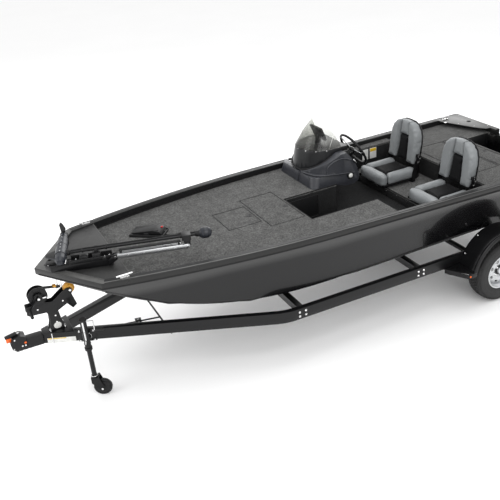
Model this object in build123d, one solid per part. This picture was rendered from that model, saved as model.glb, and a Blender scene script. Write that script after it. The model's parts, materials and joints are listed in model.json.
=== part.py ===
from build123d import *
import math
import os

os.makedirs("parts", exist_ok=True)

# Bass boat on its trailer, in millimetres.
# While modelling, x runs forward from the transom, y to port, z up from the ground.
# At the end everything moves along x, so the origin lies under the middle of the box.

# Hull, seen from above
HULL_LENGTH = 5099
CORNER_X, CORNER_HALF = 4720, 536
MID_X, MID_HALF = 2800, 826
STERN_HALF = 940
STERN_BOW = 3
FORE_BOW = 51
# Sheer line, the top of the gunwale, as an arc through three heights
SHEER_STERN, SHEER_MID, SHEER_BOW = 1152, 1181, 1200
RIM_HEIGHT, RIM_WIDTH, RIM_PROUD = 55, 62, 4
# Hull sections: x, chine half-breadth, chine height, keel height
HULL_SECTIONS = [
    (0, 760, 700, 592),
    (1300, 752, 694, 590),
    (2600, 728, 684, 590),
    (3600, 655, 712, 596),
    (4250, 560, 872, 672),
    (CORNER_X, 497, 1112, 905),
]
STEM_X, STEM_HALF, STEM_CHINE, STEM_KEEL = 5085, 15, 1142, 1139

# Decks and wells
DECK_Z, REAR_DECK_Z, DECK_THICK = 1125, 1100, 20
PANEL_X, PANEL_Z = 4489, 1186
WELL_FRONT, WELL_HALF, FLOOR_Z, FLOOR_THICK = 2827, 735, 790, 12
PASSAGE_STBD, PASSAGE_PORT = -102, 401
ROD_BOX_AFT, FOOTWELL_FRONT = 2135, 2250
PLATFORM_FRONT, PLATFORM_AFT, PLATFORM_Z = 1612, 1112, 900
SPLASH_AFT, SPLASH_FRONT, SPLASH_HALF, SPLASH_FLOOR = 90, 440, 330, 920
NOTCH_HALF, TRANSOM_THICK, TRANSOM_TOP = 250, 50, 1096
# Lids: name, aft edge, forward edge, half-width, deck top, compartment floor
LIDS = [
    ("hatch_lid_fore", 3204, 3520, 182, DECK_Z, 850),
    ("hatch_lid_middle", 2845, 3185, 318, DECK_Z, 840),
    ("hatch_lid_rear", 678, 1050, 430, REAR_DECK_Z, 800),
    ("hatch_lid_aft", 462, 664, 430, REAR_DECK_Z, 800),
]
LID_GAP, LID_LEDGE, SEAT_GAP, RUNNING_FIT = 5, 18, 0.3, 0.05
STORE_Y, STORE_Z = (-60, 300), (880, 1050)

# Console, steering and seats
CONSOLE_Y = (-765, -100)
CONSOLE_AFT, CONSOLE_NOSE, CONSOLE_SHELF, CONSOLE_BODY = 1960, 2512, 1228, 304
# Side view of the console's upper body, from the nose over the dash and down to the skirt
CONSOLE_SIDE = [
    (2540, CONSOLE_SHELF - 20), (2540, 1236), (2490, 1244), (2180, 1398), (2108, 1402), (2050, 1334),
    (2012, 1272), (1975, 1165), (1990, 1105), (2040, 1082), (2130, 1080), (2240, 1112), (2240, DECK_Z),
]
# Visor and windshield sections: height, aft edge, nose, half-width
VISOR_ROWS = [(1200, 2030, 2500, 248), (1437, 2040, 2450, 230)]
WINDSHIELD_ROWS = [(1437, 2040, 2450, 230), (1560, 2040, 2370, 186), (1684, 2040, 2272, 84)]
WINDSHIELD_WALL, VISOR_TOP, VISOR_MIDDLE = 5, 1437, -450
HELM = (1848, -400, 1300)
HELM_TILT, HELM_RADIUS, HELM_GRIP = 29, 180, 13
SEAT_WIDTH, CUSHION_LENGTH, CUSHION_Z, CUSHION_HEIGHT = 430, 410, 945, 105
BACK_HEIGHT, BACK_THICK, BACK_LEAN = 400, 95, 8
# Seats: name, x of the back's hinge, y of the middle
SEATS = [("driver", 1268, -328), ("port", 1230, 428)]
HINGE_Z = 1108

# Bow mount of the trolling motor: s runs aft along the shaft, v to starboard
BOW_X, BOW_Y, BOW_YAW = 4893, 117, 17.4
SHAFT_Z, SHAFT_R, SHAFT_END = 1320, 14.5, 1060
POD_R, POD_NOSE, POD_TAIL = 45, -160, 288
BOW_PROP_R, ARM_Z, ARM_R, ARM_START, ARM_END = 108, 1266, 15, 400, 960
ARM_V = (-84, -60)

# Outboard
TILT_X, TILT_Z, STEER_X = -62, 1148, -178
GEARCASE_Z, GEARCASE_R, PLATE_Z = 405, 56, 598
PROP_R, PROP_X, PROP_SHAFT_R = 168, -470, 12
COWL_AFT, COWL_FRONT, COWL_Z, COWL_HALF = -730, -40, 1205, 228
# Cowl sections: height above its base, inset aft, inset front, half-width, corner radius
COWL_SECTIONS = [
    (0, 60, 30, 200, 90),
    (90, 10, 0, 228, 110),
    (330, 0, 18, 224, 120),
    (470, 45, 70, 190, 110),
    (530, 130, 150, 120, 80),
]

# Trailer
AXLE_X, TYRE_R, RIM_R, TYRE_WIDTH, TYRE_CLEARANCE, FENDER_MARGIN = 1108, 304, 165, 177, 18, 25
RAIL_TOP, RAIL_DEPTH, RAIL_WIDE, RAIL_OUT = 519, 100, 50, 820
TYRE_INNER = RAIL_OUT + TYRE_CLEARANCE
TYRE_OUTER = TYRE_INNER + TYRE_WIDTH
TYRE_MID = (TYRE_INNER + TYRE_OUTER) / 2
FENDER_OUT = TYRE_OUTER + FENDER_MARGIN
FRAME_PITCH = 1.5
VEE_X, VEE_SLOPE, RAIL_AFT, RAIL_BEND_R = 5201, 0.443, -60, 420
FENDER_R, FENDER_Z, FENDER_THICK, FENDER_LOW = 400, 345, 4, 440
LAMP_REACH, LAMP_HEIGHT = 62, 78
BUNK_Y, BUNK_HALF, BUNK_LOW, BUNK_X = 470, 45, 600, (180, 3280)
# Cross beams: x, whether bunk posts stand on them
BEAMS = [(140, True), (1950, True), (3200, True)]
WINCH_HALF, TONGUE_PLATE = 30, 6
ROLLER_X, ROLLER_Z, ROLLER_R, ROLLER_HALF = 4880, 950, 45, 28
STRAP_R, STRAP_HALF, EYE_X, EYE_Z = 58, 20, 4950, 988
COUPLER_NOSE, COUPLER_Z = 5412, 503
JACK_X, JACK_OFFSET, JACK_R, JACK_TOP, JACK_LOW = 4839, 50, 26, 745, 459
RAM_R, RAM_TOP, RAM_LOW, CASTER_R, CASTER_TRAIL = 20, 530, 196, 76, 52
JACK_PIVOT_Z = 560

ORIGIN_X = (COUPLER_NOSE + 30 + COWL_AFT) / 2


def block(x0, x1, y0, y1, z0, z1):
    """A box between two corners."""
    middle = Pos((x0 + x1) / 2, (y0 + y1) / 2, (z0 + z1) / 2)
    return middle * Box(abs(x1 - x0), abs(y1 - y0), abs(z1 - z0))


def rod(start, end, radius):
    """A round bar from one point to another."""
    start, end = Vector(*start), Vector(*end)
    frame = Plane(origin=start, z_dir=end - start)
    return frame * Cylinder(radius, (end - start).length, align=(Align.CENTER, Align.CENTER, Align.MIN))


def outline(points, radius=0):
    """A closed outline, its corners rounded where a radius is given."""
    if radius:
        return FilletPolyline(*points, radius=radius, close=True)
    return Polyline(*points, close=True)


def slab_x(points, x0, x1, radius=0):
    """An outline of (y, z) points pushed along x."""
    face = Face(Wire(outline([(x0, y, z) for y, z in points], radius).edges()))
    return extrude(face, amount=x1 - x0, dir=(1, 0, 0))


def slab_y(points, y0, y1, radius=0):
    """An outline of (x, z) points pushed along y."""
    face = Face(Wire(outline([(x, y0, z) for x, z in points], radius).edges()))
    return extrude(face, amount=y1 - y0, dir=(0, 1, 0))


def slab_z(points, z0, z1, radius=0):
    """An outline of (x, y) points pushed upwards."""
    face = Face(Wire(outline([(x, y, z0) for x, y in points], radius).edges()))
    return extrude(face, amount=z1 - z0, dir=(0, 0, 1))


def turned(points, centre, axis, radius=0):
    """An outline of (radius, distance) points turned about an axis."""
    face = Face(Wire(outline([(r, 0, a) for r, a in points], radius).edges()))
    return Plane(origin=centre, z_dir=axis) * revolve(face, axis=Axis.Z)


def port_and_starboard(shape):
    """A shape and its mirror image across the centreline."""
    return [shape, mirror(shape, about=Plane.XZ)]


def circle_through(a, b, c):
    """Centre and radius of the circle through three points."""
    (x1, y1), (x2, y2), (x3, y3) = a, b, c
    d = 2 * (x1 * (y2 - y3) + x2 * (y3 - y1) + x3 * (y1 - y2))
    s1, s2, s3 = x1 * x1 + y1 * y1, x2 * x2 + y2 * y2, x3 * x3 + y3 * y3
    cx = (s1 * (y2 - y3) + s2 * (y3 - y1) + s3 * (y1 - y2)) / d
    cy = (s1 * (x3 - x2) + s2 * (x1 - x3) + s3 * (x2 - x1)) / d
    return cx, cy, math.hypot(x1 - cx, y1 - cy)


def arc_height(arc, x, inset=0):
    """Height at x of an arc that bulges upwards, moved inwards by inset."""
    cx, cy, r = circle_through(*arc)
    return cy + math.sqrt((r - inset) ** 2 - (x - cx) ** 2)


# The plan outline is one arc aft, one arc forward and a straight facet to the tip.
AFT_ARC = (
    (0, STERN_HALF),
    (MID_X / 2, (STERN_HALF + MID_HALF) / 2 + STERN_BOW),
    (MID_X, MID_HALF),
)
FORE_ARC = (
    (MID_X, MID_HALF),
    ((MID_X + CORNER_X) / 2, (MID_HALF + CORNER_HALF) / 2 + FORE_BOW),
    (CORNER_X, CORNER_HALF),
)
SHEER_ARC = (
    (0, SHEER_STERN),
    (HULL_LENGTH / 2, SHEER_MID),
    (HULL_LENGTH, SHEER_BOW),
)


def half_beam(x):
    """Half the breadth of the gunwale at x."""
    return arc_height(AFT_ARC if x <= MID_X else FORE_ARC, x)


def sheer(x):
    """Height of the gunwale's top at x."""
    return arc_height(SHEER_ARC, x)


def plan_points(inset):
    """The port side of the outline from above, moved inwards by inset."""
    cx, cy, r = circle_through(*FORE_ARC)
    run, drop = HULL_LENGTH - CORNER_X, CORNER_HALF
    length = math.hypot(run, drop)
    along, inward = (run / length, -drop / length), (-drop / length, -run / length)
    start = (CORNER_X + inset * inward[0], CORNER_HALF + inset * inward[1])
    # The facet's line meets the forward arc at distance s from its start.
    dx, dy = start[0] - cx, start[1] - cy
    b = dx * along[0] + dy * along[1]
    s = -b + math.copysign(math.sqrt(b * b - dx * dx - dy * dy + (r - inset) ** 2), b)
    corner = (start[0] + s * along[0], start[1] + s * along[1])
    tip = (start[0] - start[1] * along[0] / along[1], 0)
    middle = (arc_height(AFT_ARC, MID_X, inset) + arc_height(FORE_ARC, MID_X, inset)) / 2
    aft_mid, fore_mid = MID_X / 2, (MID_X + CORNER_X) / 2
    return [
        (inset, arc_height(AFT_ARC, inset, inset)),
        (aft_mid, arc_height(AFT_ARC, aft_mid, inset)),
        (MID_X, middle),
        (fore_mid, arc_height(FORE_ARC, fore_mid, inset)),
        corner,
        tip,
    ]


def plan_prism(inset, z0, z1):
    """The boat's outline from above, moved inwards, from z0 to z1."""
    port = [(x, y, z0) for x, y in plan_points(inset)]
    starboard = [(x, -y, z) for x, y, z in port]
    edges = []
    for a, b, c, d, e, f in (port, starboard):
        edges += [ThreePointArc(a, b, c), ThreePointArc(c, d, e), Line(e, f)]
    edges.append(Line(port[0], starboard[0]))
    face = Face(Wire([edge for part in edges for edge in part.edges()]))
    return extrude(face, amount=z1 - z0, dir=(0, 0, 1))


def sheer_band(low, high):
    """A band that follows the sheer line, across the whole breadth."""
    reach = 1200
    lower = [(x, -reach, z + low) for x, z in SHEER_ARC]
    upper = [(x, -reach, z + high) for x, z in SHEER_ARC]
    edges = [
        ThreePointArc(*lower),
        Line(lower[2], upper[2]),
        ThreePointArc(*upper),
        Line(upper[0], lower[0]),
    ]
    face = Face(Wire([edge for part in edges for edge in part.edges()]))
    return extrude(face, amount=2 * reach, dir=(0, 1, 0))


def inner_prism(x0, x1, z0, z1):
    """The space inside the gunwale between two stations."""
    return plan_prism(RIM_WIDTH, z0, z1) & block(x0, x1, -1200, 1200, z0, z1)


WELL_PLAN = [
    (PLATFORM_FRONT, -WELL_HALF),
    (FOOTWELL_FRONT, -WELL_HALF),
    (FOOTWELL_FRONT, PASSAGE_STBD),
    (WELL_FRONT, PASSAGE_STBD),
    (WELL_FRONT, PASSAGE_PORT),
    (ROD_BOX_AFT, PASSAGE_PORT),
    (ROD_BOX_AFT, WELL_HALF),
    (PLATFORM_FRONT, WELL_HALF),
]


def hull_section(x, half, top, chine_y, chine_z, keel_z):
    """One five-sided section of the hull."""
    points = [(0, keel_z), (chine_y, chine_z), (half, top), (-half, top), (-chine_y, chine_z)]
    return Face(Wire(Polyline(*[(x, y, z) for y, z in points], close=True).edges()))


def hull_form():
    """The outside of the hull, up to the sheer line."""
    faces = [
        hull_section(x, half_beam(x) - RIM_PROUD, sheer(x), cy, cz, kz)
        for x, cy, cz, kz in HULL_SECTIONS
    ]
    stem = hull_section(STEM_X, STEM_HALF, sheer(STEM_X), STEM_HALF - 5, STEM_CHINE, STEM_KEEL)
    return loft(faces) + loft([faces[-1], stem], ruled=True)


def make_hull():
    hull = hull_form() - sheer_band(-RIM_HEIGHT, 400)
    deck_low, rear_low = DECK_Z - DECK_THICK, REAR_DECK_Z - DECK_THICK
    hull -= inner_prism(PLATFORM_AFT, PANEL_X, deck_low, SHEER_BOW)
    hull -= inner_prism(0, PLATFORM_AFT, rear_low, SHEER_BOW)
    hull -= slab_z(WELL_PLAN, FLOOR_Z, DECK_Z)
    hull -= block(
        PLATFORM_AFT, PLATFORM_FRONT, -WELL_HALF, WELL_HALF, PLATFORM_Z - DECK_THICK, DECK_Z
    )
    for _, aft, fore, half, top, low in LIDS:
        edge = LID_LEDGE
        hull -= block(aft + edge, fore - edge, edge - half, half - edge, low, top)
    hull -= block(WELL_FRONT, LIDS[1][1] + LID_LEDGE, *STORE_Y, *STORE_Z)
    hull -= block(SPLASH_AFT, SPLASH_FRONT, -SPLASH_HALF, SPLASH_HALF, SPLASH_FLOOR, DECK_Z)
    hull -= block(-5, SPLASH_AFT, -NOTCH_HALF, NOTCH_HALF, TRANSOM_TOP, SHEER_BOW)
    hull -= block(TRANSOM_THICK, SPLASH_AFT, -NOTCH_HALF, NOTCH_HALF, SPLASH_FLOOR, SHEER_BOW)
    return hull


def make_rim():
    ring = plan_prism(0, 1000, 1300) - plan_prism(RIM_WIDTH, 1000, 1300)
    rim = ring & sheer_band(-RIM_HEIGHT, 0)
    gusset = [(20, 335), (118, 335), (190, 450), (345, 815), (345, 905), (20, 905)]
    plates = slab_z(gusset, 1000, 1300) & plan_prism(RIM_WIDTH, 1000, 1300)
    plates &= sheer_band(-12, 0)
    for plate in port_and_starboard(plates):
        rim += plate
    return rim - block(-5, 200, -NOTCH_HALF, NOTCH_HALF, 1000, 1300)


def make_decks():
    front = inner_prism(PLATFORM_AFT, PANEL_X, DECK_Z - DECK_THICK, DECK_Z)
    front -= slab_z(WELL_PLAN, FLOOR_Z, DECK_Z + 5)
    front -= block(PLATFORM_AFT - 5, PLATFORM_FRONT + 5, -WELL_HALF, WELL_HALF, 1000, 1200)
    rear = inner_prism(0, PLATFORM_AFT, REAR_DECK_Z - DECK_THICK, REAR_DECK_Z)
    rear -= block(-5, SPLASH_FRONT, -SPLASH_HALF, SPLASH_HALF, 1000, 1200)
    for _, aft, fore, half, _, _ in LIDS:
        hole = block(aft, fore, -half, half, 1000, 1200)
        front -= hole
        rear -= hole
    return front, rear


def make_lid(aft, fore, half, top):
    gap = LID_GAP
    plate = block(aft + gap, fore - gap, gap - half, half - gap, top - DECK_THICK + SEAT_GAP, top)
    recess = Pos(aft + 42, half * 0.1, top) * Cylinder(22, 8)
    return plate - recess


def make_console():
    """A drafted base, a round-nosed body that rises aft, and the painted visor on it."""
    low_y, high_y = CONSOLE_Y
    middle, half = (low_y + high_y) / 2, (high_y - low_y) / 2
    faces = []
    for z, draft, corner in ((DECK_Z, 0, 70), (CONSOLE_SHELF, 20, 85)):
        length = CONSOLE_NOSE - CONSOLE_AFT - 2 * draft
        place = Pos((CONSOLE_NOSE + CONSOLE_AFT) / 2, middle, z)
        faces.append(place * RectangleRounded(length, 2 * (half - draft), corner))
    base = loft(faces, ruled=True)
    port = high_y - 4
    rows = [(1070, CONSOLE_AFT, 2496, CONSOLE_BODY), (1420, CONSOLE_AFT, 2450, CONSOLE_BODY - 28)]
    body = loft([nose_face(*row, port - CONSOLE_BODY) for row in rows], ruled=True)
    body &= slab_y(CONSOLE_SIDE, low_y + 35, high_y)
    cup = Pos(2397, -697, CONSOLE_SHELF) * Cylinder(36, 180)
    visor = loft([nose_face(*row, VISOR_MIDDLE) for row in VISOR_ROWS], ruled=True)
    under = [(x, z + SEAT_GAP) for x, z in CONSOLE_SIDE[1:5]]
    visor -= slab_y([*under, (1900, 1402), (1900, 1000), (2700, 1000), (2700, 1236)], -1000, 100)
    return base + body - cup, visor


def nose_face(z, aft, nose, half, middle):
    """A plan section with a round nose forward and a straight back."""
    shoulder = aft + (nose - aft) * 0.35
    left, right = (shoulder, middle + half, z), (shoulder, middle - half, z)
    edges = [
        ThreePointArc(left, (nose, middle, z), right),
        Line(right, (aft, middle - half, z)),
        Line((aft, middle - half, z), (aft, middle + half, z)),
        Line((aft, middle + half, z), left),
    ]
    return Face(Wire([edge for part in edges for edge in part.edges()]))


def make_windshield():
    wall = WINDSHIELD_WALL
    rows = [(z + SEAT_GAP, *rest) for z, *rest in WINDSHIELD_ROWS]
    outer = loft([nose_face(*row, VISOR_MIDDLE) for row in rows], ruled=True)
    inner = loft(
        [nose_face(z, aft - 10, nose - wall, half - wall, VISOR_MIDDLE) for z, aft, nose, half in rows],
        ruled=True,
    )
    rear = [(1900, 1400), (2104, 1400), (2117, 1472), (2160, 1575), (2214, 1647), (2250, 1700), (1900, 1700)]
    return outer - inner - slab_y(rear, -1000, 100)


def make_display():
    """The chart display on its bracket, inside the windshield."""
    screen = slab_y([(2172, 1478), (2196, 1470), (2250, 1600), (2226, 1608)], -560, -370, 6)
    stem = slab_y([(2190, VISOR_TOP + SEAT_GAP), (2250, VISOR_TOP + SEAT_GAP), (2232, 1520), (2200, 1520)],
                  -480, -450)
    return screen + stem


def helm_frame():
    tilt = math.radians(HELM_TILT)
    return Plane(origin=HELM, x_dir=(0, 1, 0), z_dir=(-math.cos(tilt), 0, math.sin(tilt)))


def make_steering_wheel():
    ring = Torus(HELM_RADIUS, HELM_GRIP)
    hub = Pos(0, 0, -18) * Cylinder(38, 36)
    wheel = ring + hub
    for angle in (0, 130, 230):
        spoke = Rot(0, 0, angle) * (Pos(HELM_RADIUS / 2, 0, -9) * Box(HELM_RADIUS - 8, 26, 9))
        wheel += spoke
    return helm_frame() * wheel


def make_column():
    column = Pos(0, 0, -37) * Cylinder(24, 170, align=(Align.CENTER, Align.CENTER, Align.MAX))
    return helm_frame() * column


def make_seat(hinge_x, middle):
    half = SEAT_WIDTH / 2
    front = hinge_x + 25 + CUSHION_LENGTH
    cushion = block(
        hinge_x + 25, front, middle - half, middle + half, CUSHION_Z, CUSHION_Z + CUSHION_HEIGHT
    )
    cushion = fillet(cushion.edges().filter_by(Axis.Z), 45)
    cushion = fillet(cushion.faces().sort_by(Axis.Z)[-1].edges(), 32)
    low, high, round_r = HINGE_Z + 22, HINGE_Z + 22 + BACK_HEIGHT, 100
    shape = [(-half, low), (half, low), (half, high), (-half, high)]
    back = slab_x(shape, -BACK_THICK / 2, BACK_THICK / 2, round_r)
    back += block(-BACK_THICK / 2, BACK_THICK / 2, -half, half, low, low + 150)
    back = fillet(back.edges().group_by(Axis.X)[-1], 25)
    lean = Pos(hinge_x, middle, HINGE_Z) * Rot(0, -BACK_LEAN, 0) * Pos(0, 0, -HINGE_Z)
    back = lean * back
    frame = block(hinge_x + 40, front - 60, middle - 150, middle + 150, PLATFORM_Z, PLATFORM_Z + 30)
    frame += block(
        hinge_x + 15, front - 30, middle - half + 10, middle + half - 10,
        PLATFORM_Z + 30, CUSHION_Z - SEAT_GAP,
    )
    ear_shape = [(-25, -160), (60, -200), (60, -120), (22, 18), (-22, 18)]
    arm_shape = [(-24, -20), (24, -20), (30, 90), (-30, 90)]
    arms = []
    for side in (-1, 1):
        y = middle + side * (half + 2)
        ear = [(hinge_x + x, HINGE_Z + z) for x, z in ear_shape]
        frame += slab_y(ear, min(y, y + side * 6), max(y, y + side * 6))
        frame += block(
            hinge_x + 20, hinge_x + 60, middle + side * 100, y + side * 6,
            CUSHION_Z - 40, CUSHION_Z - 12,
        )
        near, far = side * (half + SEAT_GAP), side * (half + 12)
        plate = slab_y(arm_shape, *sorted((far, far + side * 5)))
        plate += block(-24, 24, *sorted((near, far)), 50, 84)
        arms.append(lean * Pos(0, 0, HINGE_Z) * plate)
        frame += rod((hinge_x, y + side * 5, HINGE_Z), (hinge_x, middle + far, HINGE_Z), 8)
    return cushion, back, frame, arms


def make_cleat(x, y):
    z = sheer(x) + 0.5
    foot = Pos(x, y, z + 4) * Box(70, 26, 8)
    cleat = foot + rod((x - 62, y, z + 24), (x + 62, y, z + 24), 7)
    for step in (-18, 18):
        cleat += rod((x + step, y, z + 6), (x + step, y, z + 24), 7)
    return cleat


def make_bow_eye(hull_outside):
    """A bent bar under the stem, where the winch strap hooks on."""
    keel = STEM_KEEL - (STEM_X - EYE_X) * (STEM_KEEL - HULL_SECTIONS[-1][3]) / (STEM_X - CORNER_X)
    eye = rod((EYE_X - 28, 0, EYE_Z), (EYE_X + 14, 0, EYE_Z), 5)
    for x in (EYE_X - 22, EYE_X + 8):
        eye += rod((x, 0, EYE_Z), (x, 0, keel + 10), 4.5)
    return eye - Pos(0, 0, -SEAT_GAP) * hull_outside


BOW_FRAME = Pos(BOW_X, BOW_Y, 0) * Rot(0, 0, 180 - BOW_YAW)


def make_bow_motor():
    base_z, base_high, rim_z = PANEL_Z, 1246, SHEER_BOW + 1
    plan = [(-133, 10), (-133, -25), (-90, -65), (380, -65), (380, 25), (-100, 25)]
    base = slab_z(plan, rim_z, base_high)
    base += block(70, 350, -60, 20, base_z, rim_z)
    base += block(-32, 32, -60, 20, base_high, SHAFT_Z - POD_R - 12)
    base -= rod((0, -70, SHAFT_Z), (0, 30, SHAFT_Z), POD_R + SEAT_GAP)
    low_v, high_v = ARM_V
    for v0, v1 in ((low_v - 10, low_v - 1), (high_v + 1, high_v + 10)):
        ear = [(345, rim_z), (ARM_START + 16, base_high), (ARM_START + 16, ARM_Z + 20),
               (ARM_START - 16, ARM_Z + 20), (345, base_high)]
        base += slab_y(ear, v0, v1)
    pin_v = (low_v - 10, high_v + 10)
    bar = rod((ARM_START, low_v, ARM_Z), (ARM_START, high_v, ARM_Z), ARM_R)
    bar += rod((ARM_END, low_v, ARM_Z), (ARM_END, high_v, ARM_Z), ARM_R)
    bar += block(ARM_START, ARM_END, low_v, high_v, ARM_Z - ARM_R, ARM_Z + ARM_R)
    for s in (ARM_START, ARM_END):
        bar -= rod((s, low_v - 1, ARM_Z), (s, high_v + 1, ARM_Z), 6.1)
    base += rod((ARM_START, pin_v[0], ARM_Z), (ARM_START, pin_v[1], ARM_Z), 6)
    bar += block(440, 905, high_v + 14, high_v + 34, ARM_Z - 13, ARM_Z + 13)
    for s in (450, 870):
        bar += block(s, s + 22, high_v, high_v + 14, ARM_Z - 10, ARM_Z + 10)
    ear = [(ARM_END - 18, ARM_Z - 18), (ARM_END + 18, ARM_Z - 18), (ARM_END + 30, SHAFT_Z + 24),
           (ARM_END - 40, SHAFT_Z + 24)]
    housing = slab_y(ear, high_v + 3, high_v + 14)
    housing += rod((ARM_END, low_v - 6, ARM_Z), (ARM_END, high_v + 3, ARM_Z), 6)
    housing += block(ARM_END - 40, ARM_END + 30, high_v + 14, 26, SHAFT_Z - 24, SHAFT_Z + 24)
    housing -= rod((ARM_END - 50, 0, SHAFT_Z), (ARM_END + 50, 0, SHAFT_Z), SHAFT_R)
    shaft = rod((POD_R - 6, 0, SHAFT_Z), (SHAFT_END, 0, SHAFT_Z), SHAFT_R)
    pod = turned(
        [(0, POD_NOSE), (22, POD_NOSE + 6), (38, POD_NOSE + 40), (POD_R, POD_NOSE + 110),
         (POD_R, 90), (38, 230), (30, POD_TAIL), (0, POD_TAIL)],
        (0, 0, SHAFT_Z), (0, 1, 0),
    )
    pod -= rod((POD_R - 6, 0, SHAFT_Z), (POD_R + 20, 0, SHAFT_Z), SHAFT_R)
    fin = [(-38, -95), (-112, -40), (-118, 0), (-104, 20), (-38, 60)]
    pod += slab_z(fin, SHAFT_Z - 4, SHAFT_Z + 4)
    head = turned(
        [(0, 0), (26, 0), (40, 14), (46, 40), (44, 70), (30, 92), (0, 98)],
        (SHAFT_END, 0, SHAFT_Z), (1, 0, 0),
    )
    pod += rod((0, POD_TAIL - 20, SHAFT_Z), (0, POD_TAIL + 56, SHAFT_Z), 6)
    bore = 6 + RUNNING_FIT
    hub = turned(
        [(bore, 2), (30, 2), (32, 30), (22, 62), (10, 80), (0, 82), (0, 60), (bore, 60)],
        (0, POD_TAIL, SHAFT_Z), (0, 1, 0),
    )
    prop = hub
    blade = [(18, -16), (60, -26), (BOW_PROP_R - 8, -4), (BOW_PROP_R, 12), (86, 26), (18, 20)]
    for turn in (90, 270):
        # Each blade is a swept plate, pitched about its own radius.
        plate = Pos(0, 0, -3) * slab_z(blade, 0, 6)
        placed = Pos(0, POD_TAIL + 34, SHAFT_Z) * Rot(0, turn, 0) * Rot(62, 0, 0) * plate
        prop = prop + placed
    return base, bar, housing, shaft, pod, head, prop


def make_pedal():
    foot = slab_y([(-150, 0), (150, 0), (150, 16), (-150, 16)], -80, 80)
    tread = slab_y([(-140, 30), (60, 62), (120, 50), (138, 26), (120, 24), (-120, 18)], -62, 62)
    foot += block(-20, 20, -70, 70, 16, 34)
    return Pos(4108, -178, DECK_Z) * Rot(0, 0, 140) * (foot + tread)


def make_outboard():
    # Clamp: two cheeks against the transom and a hook over its top
    cheek = [(0, 800), (-46, 800), (-92, 1120), (-84, 1168), (-40, 1172), (-12, 1118), (0, 1118)]
    clamp = slab_y(cheek, 86, 104) + slab_y(cheek, -104, -86)
    clamp += block(-12, 0, -104, 104, 800, 1096)
    clamp += block(-12, TRANSOM_THICK + 26, -104, 104, TRANSOM_TOP, TRANSOM_TOP + 12)
    clamp += block(TRANSOM_THICK, TRANSOM_THICK + 26, -104, 104, 1000, TRANSOM_TOP)
    clamp += rod((TILT_X, -104, TILT_Z), (TILT_X, 104, TILT_Z), 14)
    # Swivel: a knuckle on the tilt tube and a long steering tube behind it
    swivel = rod((TILT_X, -80, TILT_Z), (TILT_X, 80, TILT_Z), 26)
    side = [(TILT_X + 4, 1168), (TILT_X + 14, 1130), (-78, 860), (STEER_X, 830), (STEER_X, 1150)]
    swivel += slab_y(side, -42, 42)
    swivel += rod((STEER_X, 0, 812), (STEER_X, 0, 1162), 36)
    swivel -= rod((TILT_X, -90, TILT_Z), (TILT_X, 90, TILT_Z), 14.1)
    swivel -= rod((STEER_X, 0, 800), (STEER_X, 0, 1170), 20.1)
    # Midsection: king pin, upper and lower mounts, leg
    leg = rod((STEER_X, 0, 770), (STEER_X, 0, 1190), 20)
    leg += slab_z([(-150, -60), (-150, 60), (-420, 90), (-420, -90)], 1168, COWL_Z)
    leg += slab_z([(-150, -44), (-150, 44), (-330, 60), (-330, -60)], 764, 806)
    rows = [(PLATE_Z, -238, -446, 40, 30), (760, -228, -430, 48, 34), (1000, -236, -460, 74, 50),
            (1168, -240, -560, 120, 70)]
    faces = []
    for z, front, aft, half, corner in rows:
        faces.append(Pos((front + aft) / 2, 0, z) * RectangleRounded(front - aft, 2 * half, corner))
    leg += loft(faces, ruled=True)
    plate = [(-150, 20), (-200, 60), (-420, 92), (-640, 78), (-640, -78), (-420, -92), (-200, -60),
             (-150, -20)]
    leg += slab_z(plate, PLATE_Z - 12, PLATE_Z, 12)
    # Gearcase: strut, torpedo and skeg
    strut = [(-190, PLATE_Z - 12), (-214, GEARCASE_Z), (-430, GEARCASE_Z), (-452, PLATE_Z - 12)]
    gearcase = slab_y(strut, -22, 22)
    torpedo = [(0, 0), (18, 8), (40, 50), (GEARCASE_R, 130), (GEARCASE_R, 250), (50, 352), (0, 352)]
    gearcase += turned(torpedo, (-116, 0, GEARCASE_Z), (-1, 0, 0))
    skeg = [(-230, GEARCASE_Z), (-330, 262), (-392, 252), (-424, GEARCASE_Z)]
    gearcase += slab_y(skeg, -7, 7)
    # Cowl
    faces = []
    for rise, aft, front, half, corner in COWL_SECTIONS:
        length = (COWL_FRONT - front) - (COWL_AFT + aft)
        middle = (COWL_FRONT - front + COWL_AFT + aft) / 2
        faces.append(Pos(middle, 0, COWL_Z + rise) * RectangleRounded(length, 2 * half, corner))
    cowl = loft(faces, ruled=True)
    # Propeller: barrel hub and three pitched blades
    bore = PROP_SHAFT_R + RUNNING_FIT
    hub = turned([(bore, 6), (52, 6), (56, 60), (50, 118), (20, 128), (0, 128), (0, 106), (bore, 106)],
                 (PROP_X, 0, GEARCASE_Z), (-1, 0, 0))
    gearcase += rod((PROP_X + 30, 0, GEARCASE_Z), (PROP_X - 100, 0, GEARCASE_Z), PROP_SHAFT_R)
    blade = [(-30, 40), (-62, 90), (-58, 140), (-24, PROP_R), (26, 166), (52, 120), (44, 70), (28, 40)]
    prop = hub
    for turn in (0, 120, 240):
        plate = slab_x(blade, -4, 4)
        placed = Pos(PROP_X - 62, 0, GEARCASE_Z) * Rot(turn, 0, 0) * Rot(0, 0, 32) * plate
        prop = prop + placed
    return clamp, swivel, leg, gearcase, cowl, prop


def pitched(shape):
    """Frame members lean nose-up by the trailer's parked pitch."""
    hinge = Pos(AXLE_X, 0, RAIL_TOP)
    return hinge * Rot(0, -FRAME_PITCH, 0) * Pos(-AXLE_X, 0, -RAIL_TOP) * shape


def rail_top(x):
    return RAIL_TOP + (x - AXLE_X) * math.tan(math.radians(FRAME_PITCH))


VEE_ANGLE = math.degrees(math.atan(VEE_SLOPE))
RAIL_Y = RAIL_OUT - RAIL_WIDE / 2
VEE_SHIFT = RAIL_WIDE / 2 / math.cos(math.radians(VEE_ANGLE))


def rail_centre(x):
    """Half the distance between the two rails' middles at x."""
    return min(RAIL_Y, (VEE_X - x) * VEE_SLOPE - VEE_SHIFT)


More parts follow.
